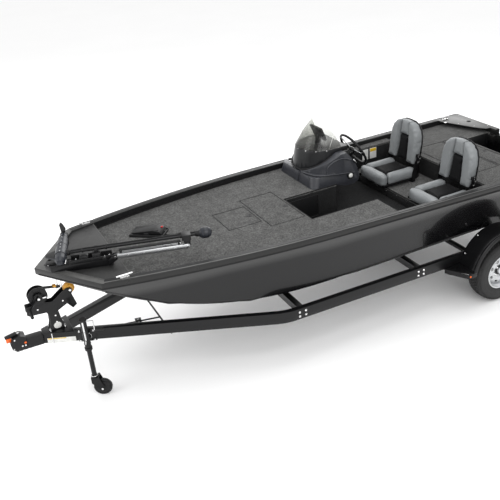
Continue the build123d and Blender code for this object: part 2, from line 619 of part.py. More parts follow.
def make_rails():
    front_x = VEE_X - 40
    bend_x = VEE_X - (RAIL_Y + VEE_SHIFT) / VEE_SLOPE
    z = RAIL_TOP - RAIL_DEPTH / 2
    path = FilletPolyline(
        (RAIL_AFT, RAIL_Y, z), (bend_x, RAIL_Y, z), (front_x, rail_centre(front_x), z),
        radius=RAIL_BEND_R,
    )
    section = Plane(origin=(RAIL_AFT, RAIL_Y, z), x_dir=(0, 1, 0), z_dir=(1, 0, 0))
    rail = sweep(section * Rectangle(RAIL_WIDE, RAIL_DEPTH), path=path)
    rail &= block(-500, 6000, 0, 1500, 0, 1200)
    return [pitched(part) for part in port_and_starboard(rail)]


def make_beams():
    beams = []
    for x, posts in BEAMS:
        top = RAIL_TOP - 4
        beam = block(x - 30, x + 30, -RAIL_Y + RAIL_WIDE / 2, RAIL_Y - RAIL_WIDE / 2, top - 60, top)
        beam = pitched(beam)
        if posts:
            for y in (-BUNK_Y, BUNK_Y):
                beam += block(x - 18, x + 18, y - 30, y + 30, rail_top(x) - 30, BUNK_LOW)
        beams.append(beam)
    return beams


def make_tongue():
    top = RAIL_TOP
    plate = slab_z([(4930, 145), (5160, 42), (5160, -42), (4930, -145)], top, top + TONGUE_PLATE)
    neck = slab_z([(5162, 36), (5290, 36), (5290, -36), (5162, -36)], top - 92, top - 4)
    return pitched(plate), pitched(neck)


def make_coupler():
    z = COUPLER_Z
    body = slab_y([(5290, z - 70), (5290, z + 42), (5330, z + 62), (5392, z + 50), (COUPLER_NOSE, z + 8),
                   (COUPLER_NOSE - 8, z - 40), (5380, z - 62)], -48, 48, 8)
    body -= Pos(5352, 0, z - 62) * Sphere(27)
    lever = slab_y([(5342, z + 60), (5352, z + 84), (COUPLER_NOSE + 30, z + 66), (COUPLER_NOSE + 26, z + 48),
                    (5392, z + 50.3)],
                   -16, 16)
    return pitched(body), pitched(lever)


def make_winch_stand(frame):
    base = rail_top(5040) + TONGUE_PLATE - 2
    post = [(4975, base), (5098, base), (5081, 690), (5076, 778), (5092, 806), (5222, 818),
            (5236, 830), (5234, 896), (5077, 896), (5060, 886), (5025, 886), (4950, 940), (4912, 966),
            (4872, 966), (4858, 940), (4872, 906), (4846, 802), (4882, 776), (4922, 832), (5000, 794), (4990, 706)]
    side = slab_y(post, WINCH_HALF, WINCH_HALF + 6)
    stand = side + mirror(side, about=Plane.XZ)
    web = [(4986, base), (5088, base), (5072, 690), (5066, 782), (5086, 812), (5226, 826), (5226, 836),
           (5076, 824), (5008, 806), (4998, 706)]
    stand += slab_y(web, -WINCH_HALF, WINCH_HALF)
    stand += block(4965, 5105, -44, 44, base, base + 12)
    stand += rod((ROLLER_X, -WINCH_HALF - 14, ROLLER_Z), (ROLLER_X, WINCH_HALF + 14, ROLLER_Z), 9)
    return stand - frame


def make_winch():
    x, z = 5126, 962
    half = WINCH_HALF - 4
    drum = rod((x, -half + 5, z), (x, half - 5, z), 18)
    for y0, y1 in ((-half, 5 - half), (half - 5, half)):
        drum += rod((x, y0, z), (x, y1, z), 76)
    frame = block(x - 40, x + 60, -half - 12, half + 12, 896, 900)
    for y in (-half - 12, half + 6):
        frame += slab_y([(x - 40, 900), (x + 60, 900), (x + 22, z + 22), (x - 22, z + 22)], y, y + 6)
    axle = rod((x, -half - 16, z), (x, half + 40, z), 7)
    crank = slab_y([(x - 8, z), (x + 8, z), (x + 96, z - 104), (x + 80, z - 112)], half + 34, half + 40)
    grip = rod((x + 84, half + 40, z - 100), (x + 84, half + 120, z - 100), 11)
    winch = drum + axle + frame + crank + grip
    strap = rod((x, -STRAP_HALF, z), (x, STRAP_HALF, z), STRAP_R)
    strap -= rod((x, -40, z), (x, 40, z), 18.3)
    strap += slab_y([(x - 20, z + 56), (x - 22, z + 60), (EYE_X + 16, EYE_Z + 3), (EYE_X + 16, EYE_Z)],
                    -STRAP_HALF, STRAP_HALF)
    strap += slab_y([(EYE_X - 9, EYE_Z - 10), (EYE_X + 26, EYE_Z - 10), (EYE_X + 26, EYE_Z + 14),
                     (EYE_X - 9, EYE_Z + 14)], 5.3, 12)
    strap += block(EYE_X + 14, EYE_X + 26, -6, 12, EYE_Z - 10, EYE_Z + 14)
    return winch, strap


def make_wheel(side):
    """Tyre and slotted steel rim of one wheel, side is 1 for port and -1 for starboard."""
    half = TYRE_WIDTH / 2
    centre = (AXLE_X, side * TYRE_MID, TYRE_R)
    lip = half * 0.74
    tyre = turned(
        [(RIM_R, -lip), (RIM_R + 14, -lip), (RIM_R + 22, -half + 8), (232, -half), (282, -half + 10),
         (TYRE_R - 4, -half + 26), (TYRE_R, -half * 0.4), (TYRE_R, half * 0.4), (TYRE_R - 4, half - 26),
         (282, half - 10), (232, half), (RIM_R + 22, half - 8), (RIM_R + 14, lip), (RIM_R, lip)],
        centre, (0, side, 0),
    )
    well = RIM_R - 6
    rim = turned(
        [(RIM_R - 2, -lip - 4), (RIM_R + 10, -lip - 4), (RIM_R + 10, -lip), (RIM_R, -lip), (RIM_R, lip),
         (RIM_R + 10, lip), (RIM_R + 10, lip + 4), (RIM_R - 2, lip + 4), (well, lip - 20), (well, -lip + 20)],
        centre, (0, side, 0),
    )
    disc = turned(
        [(52, 10), (100, 34), (well - 10, 16), (well, 0), (well, 12), (well - 6, 26), (100, 42), (52, 20)],
        centre, (0, side, 0),
    )
    slots = 12
    for i in range(slots):
        cut = Rot(0, 0, 360 / slots * i) * Pos(132, 0, 30) * Box(26, 20, 60)
        disc -= Plane(origin=centre, z_dir=(0, side, 0)) * cut
    hub = turned([(16.1, -60), (34, -60), (34, 6), (52, 6), (52, 24), (38, 40), (34, 62), (0, 64), (0, 46),
                  (16.1, 46)], centre, (0, side, 0))
    return tyre, rim + disc + hub


def make_axle():
    end = RAIL_OUT - 40
    axle = rod((AXLE_X, -end, TYRE_R), (AXLE_X, end, TYRE_R), 28)
    for side in (-1, 1):
        axle += rod((AXLE_X, side * end, TYRE_R), (AXLE_X, side * (TYRE_MID + 40), TYRE_R), 16)
        axle += rod((AXLE_X, side * end, TYRE_R), (AXLE_X, side * (end + 20), TYRE_R), 34)
    return axle


def make_springs():
    """Leaf springs over the axle, with hangers up to the rails."""
    springs = []
    y0, y1 = RAIL_Y - 78, RAIL_Y - 33
    z = TYRE_R + 28
    for side in (-1, 1):
        low, high = sorted((side * y0, side * y1))
        leaf = None
        for reach, rise in ((330, 24), (230, 16), (140, 8)):
            step = {330: 0, 230: 8, 140: 16}[reach]
            wing = 60 - step * 1.2
            points = [(AXLE_X - reach, z + wing), (AXLE_X, z + 24 - step), (AXLE_X + reach, z + wing),
                      (AXLE_X + reach, z + wing + 8), (AXLE_X, z + 32 - step), (AXLE_X - reach, z + wing + 8)]
            part = slab_y(points, low, high)
            leaf = part if leaf is None else leaf + part
        leaf += block(AXLE_X - 45, AXLE_X + 45, low, high, z, z + 14)
        for x in (AXLE_X - 322, AXLE_X + 322):
            top = rail_top(x) - 50
            leaf += block(x - 20, x + 20, low, high, z + 58, top)
            arm = sorted((side * (y1 - 1), side * (RAIL_Y - 25)))
            leaf += block(x - 20, x + 20, arm[0], arm[1], top - 40, top)
        springs.append(leaf)
    return springs


def make_fender(side):
    low, high = sorted((side * RAIL_OUT, side * FENDER_OUT))
    skin, edge = FENDER_THICK, 26
    outer = rod((AXLE_X, low, FENDER_Z), (AXLE_X, high, FENDER_Z), FENDER_R)
    inner = rod((AXLE_X, low - 1, FENDER_Z), (AXLE_X, high + 1, FENDER_Z), FENDER_R - skin)
    shell = outer - inner
    lip0, lip1 = sorted((side * FENDER_OUT, side * (FENDER_OUT - skin)))
    lip = rod((AXLE_X, lip0, FENDER_Z), (AXLE_X, lip1, FENDER_Z), FENDER_R)
    lip -= rod((AXLE_X, lip0 - 1, FENDER_Z), (AXLE_X, lip1 + 1, FENDER_Z), FENDER_R - edge)
    fender = shell + lip
    fender &= block(AXLE_X - 500, AXLE_X + 500, low, high, FENDER_LOW, 900)
    return fender


def make_step(side):
    low, high = sorted((side * RAIL_OUT, side * FENDER_OUT))
    reach = math.sqrt(FENDER_R ** 2 - (FENDER_LOW - FENDER_Z) ** 2)
    inner = side * RAIL_OUT
    outer = side * FENDER_OUT
    near, far = AXLE_X + reach - 24, AXLE_X + reach + 185
    plan = [(near, inner), (far, inner), (far - 30, inner + side * 60), (near + 60, outer), (near, outer)]
    return slab_z(plan, FENDER_LOW - 8, FENDER_LOW)


def make_tail_lights():
    """Lamp housings on the rails' aft ends, each with its lens stepped back at the rim."""
    low, high = RAIL_OUT - RAIL_WIDE, RAIL_OUT + LAMP_REACH
    middle, top = (low + high) / 2, RAIL_TOP - 8
    shape = [(low, top - LAMP_HEIGHT), (high, top - LAMP_HEIGHT), (high, top), (low, top)]
    lamp = slab_x(shape, RAIL_AFT - 26, RAIL_AFT, 12)
    lens = [(middle + (y - middle) * 0.9, z + (top - z - LAMP_HEIGHT / 2) * 0.14) for y, z in shape]
    lamp += slab_x(lens, RAIL_AFT - 40, RAIL_AFT - 26, 10)
    return [pitched(part) for part in port_and_starboard(lamp)]


def make_bunks(hull_outside):
    bunks = []
    for side in (-1, 1):
        y = side * BUNK_Y
        board = block(*BUNK_X, y - BUNK_HALF, y + BUNK_HALF, BUNK_LOW, 720)
        bunks.append(board - Pos(0, 0, -SEAT_GAP) * hull_outside)
    return bunks


JACK_FRAME = (
    Pos(JACK_X, (VEE_X - JACK_X) * VEE_SLOPE, 0) * Rot(0, 0, -VEE_ANGLE)
)


def make_jack(frame):
    """Parts of the tongue jack, built beside the rail's outer face: y points away from it."""
    y = JACK_OFFSET
    bracket = block(-72, 72, -3, 8, 510, 630)
    bracket += rod((0, 8, JACK_PIVOT_Z), (0, y - JACK_R - 4, JACK_PIVOT_Z), 34)
    leg = rod((0, y - JACK_R - 3.7, JACK_PIVOT_Z), (0, y, JACK_PIVOT_Z), 34)
    leg += rod((0, y, JACK_LOW), (0, y, JACK_TOP), JACK_R)
    leg += rod((0, y, JACK_LOW), (0, y, JACK_LOW + 24), JACK_R + 5)
    leg += rod((0, y, JACK_TOP - 8), (0, y, JACK_TOP), JACK_R + 3)
    leg -= rod((0, y, JACK_LOW - 1), (0, y, JACK_TOP - 8), RAM_R + 0.05)
    ram = rod((0, y, RAM_LOW - 6), (0, y, RAM_TOP), RAM_R)
    fork = rod((0, y, RAM_LOW - 6), (0, y, RAM_LOW + 5), 26)
    wheel_x, wheel_z = -CASTER_TRAIL, CASTER_R
    cheek = [(28, RAM_LOW - 6), (-36, RAM_LOW - 6), (wheel_x - 24, wheel_z - 6), (wheel_x - 8, wheel_z - 22),
             (wheel_x + 16, wheel_z - 10), (26, RAM_LOW - 60)]
    for y0 in (y - 34, y + 30):
        fork += slab_y(cheek, y0, y0 + 4)
    fork += block(-36, 28, y - 34, y + 34, RAM_LOW - 12, RAM_LOW - 6)
    fork += rod((wheel_x, y - 36, wheel_z), (wheel_x, y + 36, wheel_z), 6)
    wheel = turned([(6.2, -20), (40, -20), (52, -16), (CASTER_R - 6, -18), (CASTER_R, -10), (CASTER_R, 10),
                    (CASTER_R - 6, 18), (52, 16), (40, 20), (6.2, 20)], (wheel_x, y, wheel_z), (0, 1, 0))
    parts = [JACK_FRAME * part for part in (bracket, leg, ram + fork, wheel)]
    return [parts[0] - frame] + parts[1:]


NODES = {}


def keep(name, *shapes):
    """Collect the solids of one sub-part."""
    NODES[name] = [solid for shape in shapes for solid in shape.solids()]


hull_outside = hull_form()
keep("hull", make_hull())
keep("gunwale_rim", make_rim())
front_deck, rear_deck = make_decks()
keep("front_deck", front_deck)
keep("rear_deck", rear_deck)
bow_panel = inner_prism(PANEL_X, HULL_LENGTH, 1000, PANEL_Z) & sheer_band(-RIM_HEIGHT, 60)
keep("bow_panel", bow_panel)
keep("cockpit_floor", slab_z(WELL_PLAN, FLOOR_Z, FLOOR_Z + FLOOR_THICK))
keep("seat_platform", block(
    PLATFORM_AFT, PLATFORM_FRONT, -WELL_HALF, WELL_HALF, PLATFORM_Z - DECK_THICK, PLATFORM_Z
))
for lid_name, lid_aft, lid_fore, lid_half, lid_top, _ in LIDS:
    keep(lid_name, make_lid(lid_aft, lid_fore, lid_half, lid_top))

console_base, console_visor = make_console()
keep("console", console_base + make_column())
keep("console_visor", console_visor)
keep("windshield", make_windshield())
keep("display", make_display())
keep("steering_wheel", make_steering_wheel())

cushions, frames = [], []
for seat_name, seat_x, seat_y in SEATS:
    cushion, back, frame, arms = make_seat(seat_x, seat_y)
    cushions.append(cushion)
    frames.append(frame)
    keep(f"seat_back_{seat_name}", back, *arms)
keep("seat_cushions", *cushions)
keep("seat_frames", *frames)

keep("cleats", *[make_cleat(x, y) for x, y in ((4545, 545), (4545, -545), (262, 850), (262, -850))],
     make_bow_eye(hull_outside))

bow_parts = [BOW_FRAME * part for part in make_bow_motor()]
for bow_name, part in zip(
    ("trolling_mount", "trolling_arm", "trolling_housing", "trolling_shaft", "trolling_pod",
     "trolling_head", "trolling_propeller"), bow_parts):
    keep(bow_name, part)
keep("trolling_pedal", make_pedal())

for out_name, part in zip(
    ("outboard_clamp", "outboard_swivel", "outboard_leg", "outboard_gearcase", "outboard_cowl",
     "outboard_propeller"), make_outboard()):
    keep(out_name, part)

trailer_frame, *members = make_rails() + make_beams() + list(make_tongue())
for member in members:
    trailer_frame += member
keep("trailer_frame", trailer_frame)
coupler, lever = make_coupler()
keep("coupler", coupler)
keep("coupler_lever", lever)
keep("winch_stand", make_winch_stand(trailer_frame))
winch, winch_strap = make_winch()
keep("winch", winch)
keep("winch_strap", winch_strap)
roller = turned([(9.3, -ROLLER_HALF), (30, -ROLLER_HALF), (ROLLER_R, -ROLLER_HALF + 14),
                 (ROLLER_R, ROLLER_HALF - 14), (30, ROLLER_HALF), (9.3, ROLLER_HALF)],
                (ROLLER_X, 0, ROLLER_Z), (0, 1, 0))
keep("bow_roller", roller)
keep("bunks", *make_bunks(hull_outside))
keep("tail_lights", *make_tail_lights())
keep("axle", make_axle())
keep("springs", *make_springs())
for side, side_name in ((1, "port"), (-1, "starboard")):
    tyre, rim = make_wheel(side)
    keep(f"tyre_{side_name}", tyre)
    keep(f"wheel_rim_{side_name}", rim)
keep("fenders", make_fender(1), make_fender(-1))
keep("fender_steps", make_step(1), make_step(-1))
for jack_name, part in zip(("jack_bracket", "jack_leg", "jack_ram", "jack_wheel"), make_jack(trailer_frame)):
    keep(jack_name, part)

for name, solids in NODES.items():
    moved = [Pos(-ORIGIN_X, 0, 0) * solid for solid in solids]
    export_step(Compound(moved), f"parts/{name}.step")
print(len(NODES), "nodes")
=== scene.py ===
import json
import math

import bmesh
import bpy
from mathutils import Matrix, Quaternion, Vector, noise


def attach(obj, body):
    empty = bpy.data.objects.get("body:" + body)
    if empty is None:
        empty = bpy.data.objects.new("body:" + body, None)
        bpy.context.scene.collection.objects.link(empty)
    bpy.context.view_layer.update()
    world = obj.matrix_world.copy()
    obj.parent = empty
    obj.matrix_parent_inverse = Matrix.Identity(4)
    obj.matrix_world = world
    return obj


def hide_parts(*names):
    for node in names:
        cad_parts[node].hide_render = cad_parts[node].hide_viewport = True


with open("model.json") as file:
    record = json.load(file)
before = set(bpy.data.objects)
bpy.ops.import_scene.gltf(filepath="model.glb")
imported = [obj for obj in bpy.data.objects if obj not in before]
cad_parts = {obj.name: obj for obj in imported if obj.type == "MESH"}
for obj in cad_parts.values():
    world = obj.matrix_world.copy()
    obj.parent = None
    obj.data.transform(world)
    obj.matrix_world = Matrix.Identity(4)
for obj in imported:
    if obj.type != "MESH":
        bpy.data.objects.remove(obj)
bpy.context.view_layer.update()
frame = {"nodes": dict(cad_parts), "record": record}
NODES = frame["nodes"]
ORIGIN_X = 2356.0


def at(x, y, z):
    """A point in millimetres from the transom, as a point of the frame in metres."""
    return Vector(((x - ORIGIN_X) / 1000, y / 1000, z / 1000))


# Camera

def make_camera():
    data = bpy.data.cameras.new("camera")
    cam = bpy.data.objects.new("camera", data)
    bpy.context.scene.collection.objects.link(cam)
    forward = Vector((-0.41122, -0.79472, -0.44645)).normalized()
    right = forward.cross(Vector((0, 0, 1))).normalized()
    up = right.cross(forward)
    roll = math.radians(-3.771)
    c, s = math.cos(roll), math.sin(roll)
    turned_right = right * c + up * s
    turned_up = up * c - right * s
    axes = Matrix((turned_right, turned_up, -forward)).transposed()
    cam.matrix_world = Matrix.Translation(at(5574.8, 5093.0, 3822.9)) @ axes.to_4x4()
    data.sensor_width = 36
    data.lens = 700.4 / 500 * 36
    data.shift_x = -0.0591
    data.shift_y = -0.0555
    data.clip_start, data.clip_end = 0.1, 100
    bpy.context.scene.camera = cam


make_camera()

# Materials


class Nodes:
    """Short names for building a node material."""

    def __init__(self, name, **values):
        self.mat = bpy.data.materials.new(name)
        self.mat.use_nodes = True
        self.tree = self.mat.node_tree
        self.out = self.tree.nodes["Material Output"]
        self.bsdf = self.tree.nodes["Principled BSDF"]
        for key, value in values.items():
            self.bsdf.inputs[key.replace("_", " ")].default_value = value
        self.coords = self.add("ShaderNodeTexCoord").outputs["Object"]

    def add(self, kind, **props):
        node = self.tree.nodes.new(kind)
        for key, value in props.items():
            setattr(node, key, value)
        return node

    def link(self, a, b):
        self.tree.links.new(a, b)

    def noise(self, scale, detail=2.0, rough=0.5, vector=None):
        node = self.add("ShaderNodeTexNoise")
        node.inputs["Scale"].default_value = scale
        node.inputs["Detail"].default_value = detail
        node.inputs["Roughness"].default_value = rough
        self.link(vector or self.coords, node.inputs["Vector"])
        return node.outputs["Fac"]

    def cells(self, scale, feature="F1", vector=None):
        node = self.add("ShaderNodeTexVoronoi", feature=feature)
        node.inputs["Scale"].default_value = scale
        self.link(vector or self.coords, node.inputs["Vector"])
        return node.outputs["Distance"]

    def stretch(self, x, y, z):
        node = self.add("ShaderNodeMapping")
        node.inputs["Scale"].default_value = (x, y, z)
        self.link(self.coords, node.inputs["Vector"])
        return node.outputs["Vector"]

    def ramp(self, fac, stops):
        node = self.add("ShaderNodeValToRGB")
        elements = node.color_ramp.elements
        while len(elements) < len(stops):
            elements.new(0.5)
        for element, (place, color) in zip(elements, stops):
            element.position = place
            element.color = tuple(color) + (1,) if len(color) == 3 else tuple(color)
        self.link(fac, node.inputs["Fac"])
        return node.outputs["Color"]

    def range(self, fac, low, high, start=0.0, stop=1.0):
        node = self.add("ShaderNodeMapRange")
        for key, value in (("From Min", start), ("From Max", stop), ("To Min", low), ("To Max", high)):
            node.inputs[key].default_value = value
        self.link(fac, node.inputs["Value"])
        return node.outputs["Result"]

    def mix(self, fac, a, b):
        node = self.add("ShaderNodeMix", data_type="RGBA")
        for socket, value in ((node.inputs["Factor"], fac), (node.inputs["A"], a), (node.inputs["B"], b)):
            if isinstance(value, (int, float)):
                socket.default_value = value
            elif isinstance(value, (tuple, list)):
                socket.default_value = tuple(value) + (1,)
            else:
                self.link(value, socket)
        return node.outputs["Result"]

    def math(self, kind, a, b=0.0):
        node = self.add("ShaderNodeMath", operation=kind)
        for socket, value in ((node.inputs[0], a), (node.inputs[1], b)):
            if isinstance(value, (int, float)):
                socket.default_value = value
            else:
                self.link(value, socket)
        return node.outputs["Value"]

    def color(self, value):
        self.link(value, self.bsdf.inputs["Base Color"])

    def rough(self, value):
        self.link(value, self.bsdf.inputs["Roughness"])

    def bump(self, height, distance, strength=1.0, before=None):
        node = self.add("ShaderNodeBump")
        node.inputs["Distance"].default_value = distance
        node.inputs["Strength"].default_value = strength
        self.link(height, node.inputs["Height"])
        if before is not None:
            self.link(before, node.inputs["Normal"])
        self.link(node.outputs["Normal"], self.bsdf.inputs["Normal"])
        return node.outputs["Normal"]


def grey(v, tint=(1, 1, 1)):
    return tuple(v * t for t in tint)


def paint(name, base, rough=0.25, metal=0.0, coat=0.5, flake=0.0, orange=0.0003, gloss=0.5):
    """Sprayed paint: a clear coat, slight unevenness and, where asked, metal flake."""
    m = Nodes(name, Metallic=metal, Coat_Weight=coat, Coat_Roughness=0.08, Specular_IOR_Level=gloss)
    tone = m.noise(1.7, 3)
    low = grey(0.88, base)
    high = grey(1.12, base)
    shade = m.ramp(tone, [(0.3, low), (0.7, high)])
    if flake:
        spark = m.ramp(m.cells(900), [(0.0, (1, 1, 1)), (0.28, (0, 0, 0))])
        shade = m.mix(m.math("MULTIPLY", spark, flake), shade, grey(4.0, base))
    m.color(shade)
    m.rough(m.range(m.noise(9, 4), rough * 0.8, rough * 1.25))
    m.bump(m.noise(70, 2), orange, 0.5)
    return m.mat


def plastic(name, base, rough=0.45, grain=900, depth=0.0004, gloss=0.5):
    """Moulded plastic with a fine grain and slight handling marks."""
    m = Nodes(name, Metallic=0.0, Specular_IOR_Level=gloss)
    wear = m.noise(14, 5, 0.65)
    m.color(m.ramp(wear, [(0.3, grey(0.85, base)), (0.75, grey(1.2, base))]))
    m.rough(m.range(m.noise(30, 4), rough * 0.8, rough * 1.2))
    m.bump(m.noise(grain, 2), depth, 0.35)
    return m.mat


def metal(name, base, rough=0.25, brushed=(1, 1, 1), scratches=0.15):
    """Bare metal with brushing along one direction."""
    m = Nodes(name, Metallic=1.0)
    streak = m.noise(300, 3, 0.6, m.stretch(*brushed))
    m.color(m.ramp(streak, [(0.25, grey(0.85, base)), (0.8, grey(1.08, base))]))
    m.rough(m.range(streak, rough * (1 - scratches), rough * (1 + scratches * 2)))
    m.bump(streak, 0.0002, 0.25)
    return m.mat


def rubber(name, base, rough=0.75):
    m = Nodes(name)
    dust = m.noise(6, 5, 0.6)
    m.color(m.ramp(dust, [(0.35, grey(0.9, base)), (0.8, grey(1.35, base))]))
    m.rough(m.range(m.noise(40, 3), rough * 0.9, min(1.0, rough * 1.15)))
    m.bump(m.noise(500, 3), 0.0005, 0.35)
    return m.mat


def carpet(name, base):
    """Short-pile marine carpet, heather grey: light and dark tufts."""
    m = Nodes(name, Sheen_Weight=0.04, Sheen_Roughness=0.6, Specular_IOR_Level=0.1)
    tuft = m.noise(520, 3, 0.75)
    patch = m.noise(11, 5, 0.75)
    fleck = m.ramp(tuft, [(0.36, grey(0.42, base)), (0.5, base), (0.66, grey(2.3, base))])
    tread = m.mix(m.range(patch, 0.0, 0.9, 0.44, 0.6), grey(0.72, base), m.mix(0.5, fleck, grey(1.7, base)))
    clump = m.range(m.noise(70, 4, 0.8), 0.0, 1.0, 0.42, 0.62)
    shade = m.mix(clump, m.mix(0.6, tread, grey(0.4, base)), m.mix(0.5, tread, grey(2.2, base)))
    m.color(shade)
    m.bsdf.inputs["Roughness"].default_value = 0.95
    ribs = m.noise(340, 3, 0.8)
    m.bump(m.math("ADD", ribs, tuft), 0.004, 0.8)
    return m.mat


def vinyl(name, base, rough=0.42, gloss=0.5):
    """Seat vinyl with a leather-like grain."""
    m = Nodes(name, Sheen_Weight=0.05 * gloss, Specular_IOR_Level=gloss)
    cell = m.cells(420, "SMOOTH_F1")
    tone = m.noise(9, 4, 0.6)
    m.color(m.ramp(tone, [(0.3, grey(0.9, base)), (0.7, grey(1.12, base))]))
    m.rough(m.range(cell, rough * 0.85, rough * 1.3, 0.0, 0.6))
    m.bump(cell, 0.0012, 0.4)
    return m.mat


def hull_paint_and_reflection(name):
    """Metallic paint under one clear coat: black below, and a charcoal band along the top that is painted
    reflection of the bright surroundings, with more coat and specular there.
    """
    m = Nodes(name, Metallic=0.25, Coat_Roughness=0.05, Coat_IOR=1.45)
    split = m.add("ShaderNodeSeparateXYZ")
    m.link(m.coords, split.inputs[0])
    # The edge of the painted reflection band wanders with noise.
    wave = m.math("MULTIPLY", m.noise(0.9, 2), 0.10)
    height = m.math("ADD", split.outputs["Z"], wave)
    tone = m.range(height, 0.0, 1.0, 1.06, 1.13)
    flake = m.ramp(m.cells(1100), [(0.0, (1, 1, 1)), (0.25, (0, 0, 0))])
    # low is the black paint; high is the charcoal band of painted reflection; both carry flake.
    low = m.mix(m.math("MULTIPLY", flake, 0.25), (0.0035, 0.0035, 0.004), (0.03, 0.03, 0.032))
    high = m.mix(m.math("MULTIPLY", flake, 0.35), (0.017, 0.017, 0.0168), (0.06, 0.06, 0.06))
    m.color(m.mix(tone, low, high))
    m.rough(m.range(m.noise(5, 3), 0.16, 0.24))
    # More coat and specular in the painted reflection band along the top, less on the black below.
    m.link(m.range(tone, 0.35, 0.75), m.bsdf.inputs["Coat Weight"])
    m.link(m.range(tone, 0.25, 0.4), m.bsdf.inputs["Specular IOR Level"])
    m.bump(m.noise(60, 2), 0.0002, 0.4)
    return m.mat


HULL = hull_paint_and_reflection("hull paint")
# The lighter gunwale grey: painted highlight where it goes on the gunwale's top faces, and the colour of
# the light trims.
RIM = plastic("gunwale grey", (0.068, 0.068, 0.066), 0.36, 700, gloss=0.4)
RIM_SIDE = paint("gunwale side", (0.012, 0.012, 0.0118), 0.3, 0.1, 0.1, gloss=0.3)
PANEL = plastic("bow panel grey", (0.018, 0.018, 0.0178), 0.4, 700, gloss=0.35)
CARPET = carpet("deck carpet", (0.078, 0.078, 0.0765))
LINER = carpet("cockpit liner", (0.0085, 0.0087, 0.009))
CONSOLE = plastic("console shell", (0.027, 0.0285, 0.034), 0.36, 800)
VISOR = plastic("console visor", (0.007, 0.0074, 0.0085), 0.3, 800, gloss=0.35)
VINYL = vinyl("seat vinyl grey", (0.17, 0.18, 0.185))
VINYL_DARK = vinyl("seat vinyl dark", (0.005, 0.0051, 0.0055), 0.6, 0.12)
STEEL_BLACK = paint("black coated steel", (0.0045, 0.0045, 0.005), 0.3, 0.0, 0.12, gloss=0.22)
WHITE = plastic("pale plastic", (0.62, 0.62, 0.60), 0.35)
LABEL_YELLOW = plastic("label yellow", (0.62, 0.40, 0.02), 0.5)
ORANGE = plastic("lamp orange", (0.75, 0.12, 0.01), 0.25)
RED = plastic("lamp red", (0.40, 0.008, 0.008), 0.2)
SCREEN = plastic("dark glass", (0.004, 0.005, 0.007), 0.08)
BLUE_GREY = plastic("hub cap blue", (0.12, 0.17, 0.22), 0.3)
BRIGHT = metal("bright metal", (0.72, 0.72, 0.72), 0.14)
SILVER = metal("brushed aluminium", (0.62, 0.63, 0.64), 0.3, (1, 8, 8))
POD = plastic("pod shell", (0.013, 0.015, 0.020), 0.34, 900, gloss=0.35)
BLACK = plastic("black plastic", (0.007, 0.007, 0.0075), 0.42, gloss=0.28)
COWL = paint("outboard shell", (0.02, 0.021, 0.022), 0.16, 0.2, 0.9, 0.1)
TYRE = rubber("tyre rubber", (0.016, 0.016, 0.016))
WHEEL = paint("wheel silver", (0.55, 0.56, 0.57), 0.3, 0.75, 0.5, 0.2)
AMBER = rubber("amber roller", (0.62, 0.30, 0.03), 0.45)
STRAP = rubber("strap webbing", (0.02, 0.02, 0.02), 0.85)
BUNK = carpet("bunk carpet", (0.03, 0.03, 0.03))


def glass(name):
    m = Nodes(name, Roughness=0.04, IOR=1.3, Metallic=0.0)
    m.bsdf.inputs["Transmission Weight"].default_value = 1.0
    fade = m.add("ShaderNodeSeparateXYZ")
    m.link(m.coords, fade.inputs[0])
    height = m.range(fade.outputs["Z"], 0.0, 1.0, 1.40, 1.66)
    m.color(m.ramp(height, [(0.0, (0.30, 0.30, 0.285)), (1.0, (0.74, 0.75, 0.72))]))
    return m.mat


SMOKE = glass("smoked windshield")

NODES_OF_LOOK = [
    (HULL, "hull"),
    (RIM, "gunwale_rim"),
    (CARPET, "front_deck rear_deck seat_platform hatch_lid_fore hatch_lid_middle hatch_lid_rear "
             "hatch_lid_aft"),
    (PANEL, "bow_panel"),
    (LINER, "cockpit_floor"),
    (CONSOLE, "console"),
    (VISOR, "console_visor"),
    (SMOKE, "windshield"),
    (BLACK, "display steering_wheel trolling_housing trolling_propeller trolling_pedal jack_wheel"),
    (RED, "tail_lights"),
    (VINYL, "seat_back_driver seat_back_port seat_cushions"),
    (STEEL_BLACK, "seat_frames trolling_mount trolling_shaft outboard_swivel trailer_frame coupler "
                  "coupler_lever winch_stand winch axle springs fenders fender_steps jack_bracket "
                  "jack_leg jack_ram"),
    (BRIGHT, "cleats"),
    (SILVER, "trolling_arm outboard_propeller"),
    (POD, "trolling_pod trolling_head"),
    (COWL, "outboard_clamp outboard_leg outboard_gearcase outboard_cowl"),
    (STRAP, "winch_strap"),
    (AMBER, "bow_roller"),
    (BUNK, "bunks"),
    (TYRE, "tyre_port tyre_starboard"),
    (WHEEL, "wheel_rim_port wheel_rim_starboard"),
]
LOOKS = {node: look for look, names in NODES_OF_LOOK for node in names.split()}


def assign(obj, mat):
    """Give every slot of an object one material."""
    if not obj.material_slots:
        obj.data.materials.append(mat)
    for slot in obj.material_slots:
        slot.material = mat


for node_name, look in LOOKS.items():
    assign(NODES[node_name], look)


# Floor and light

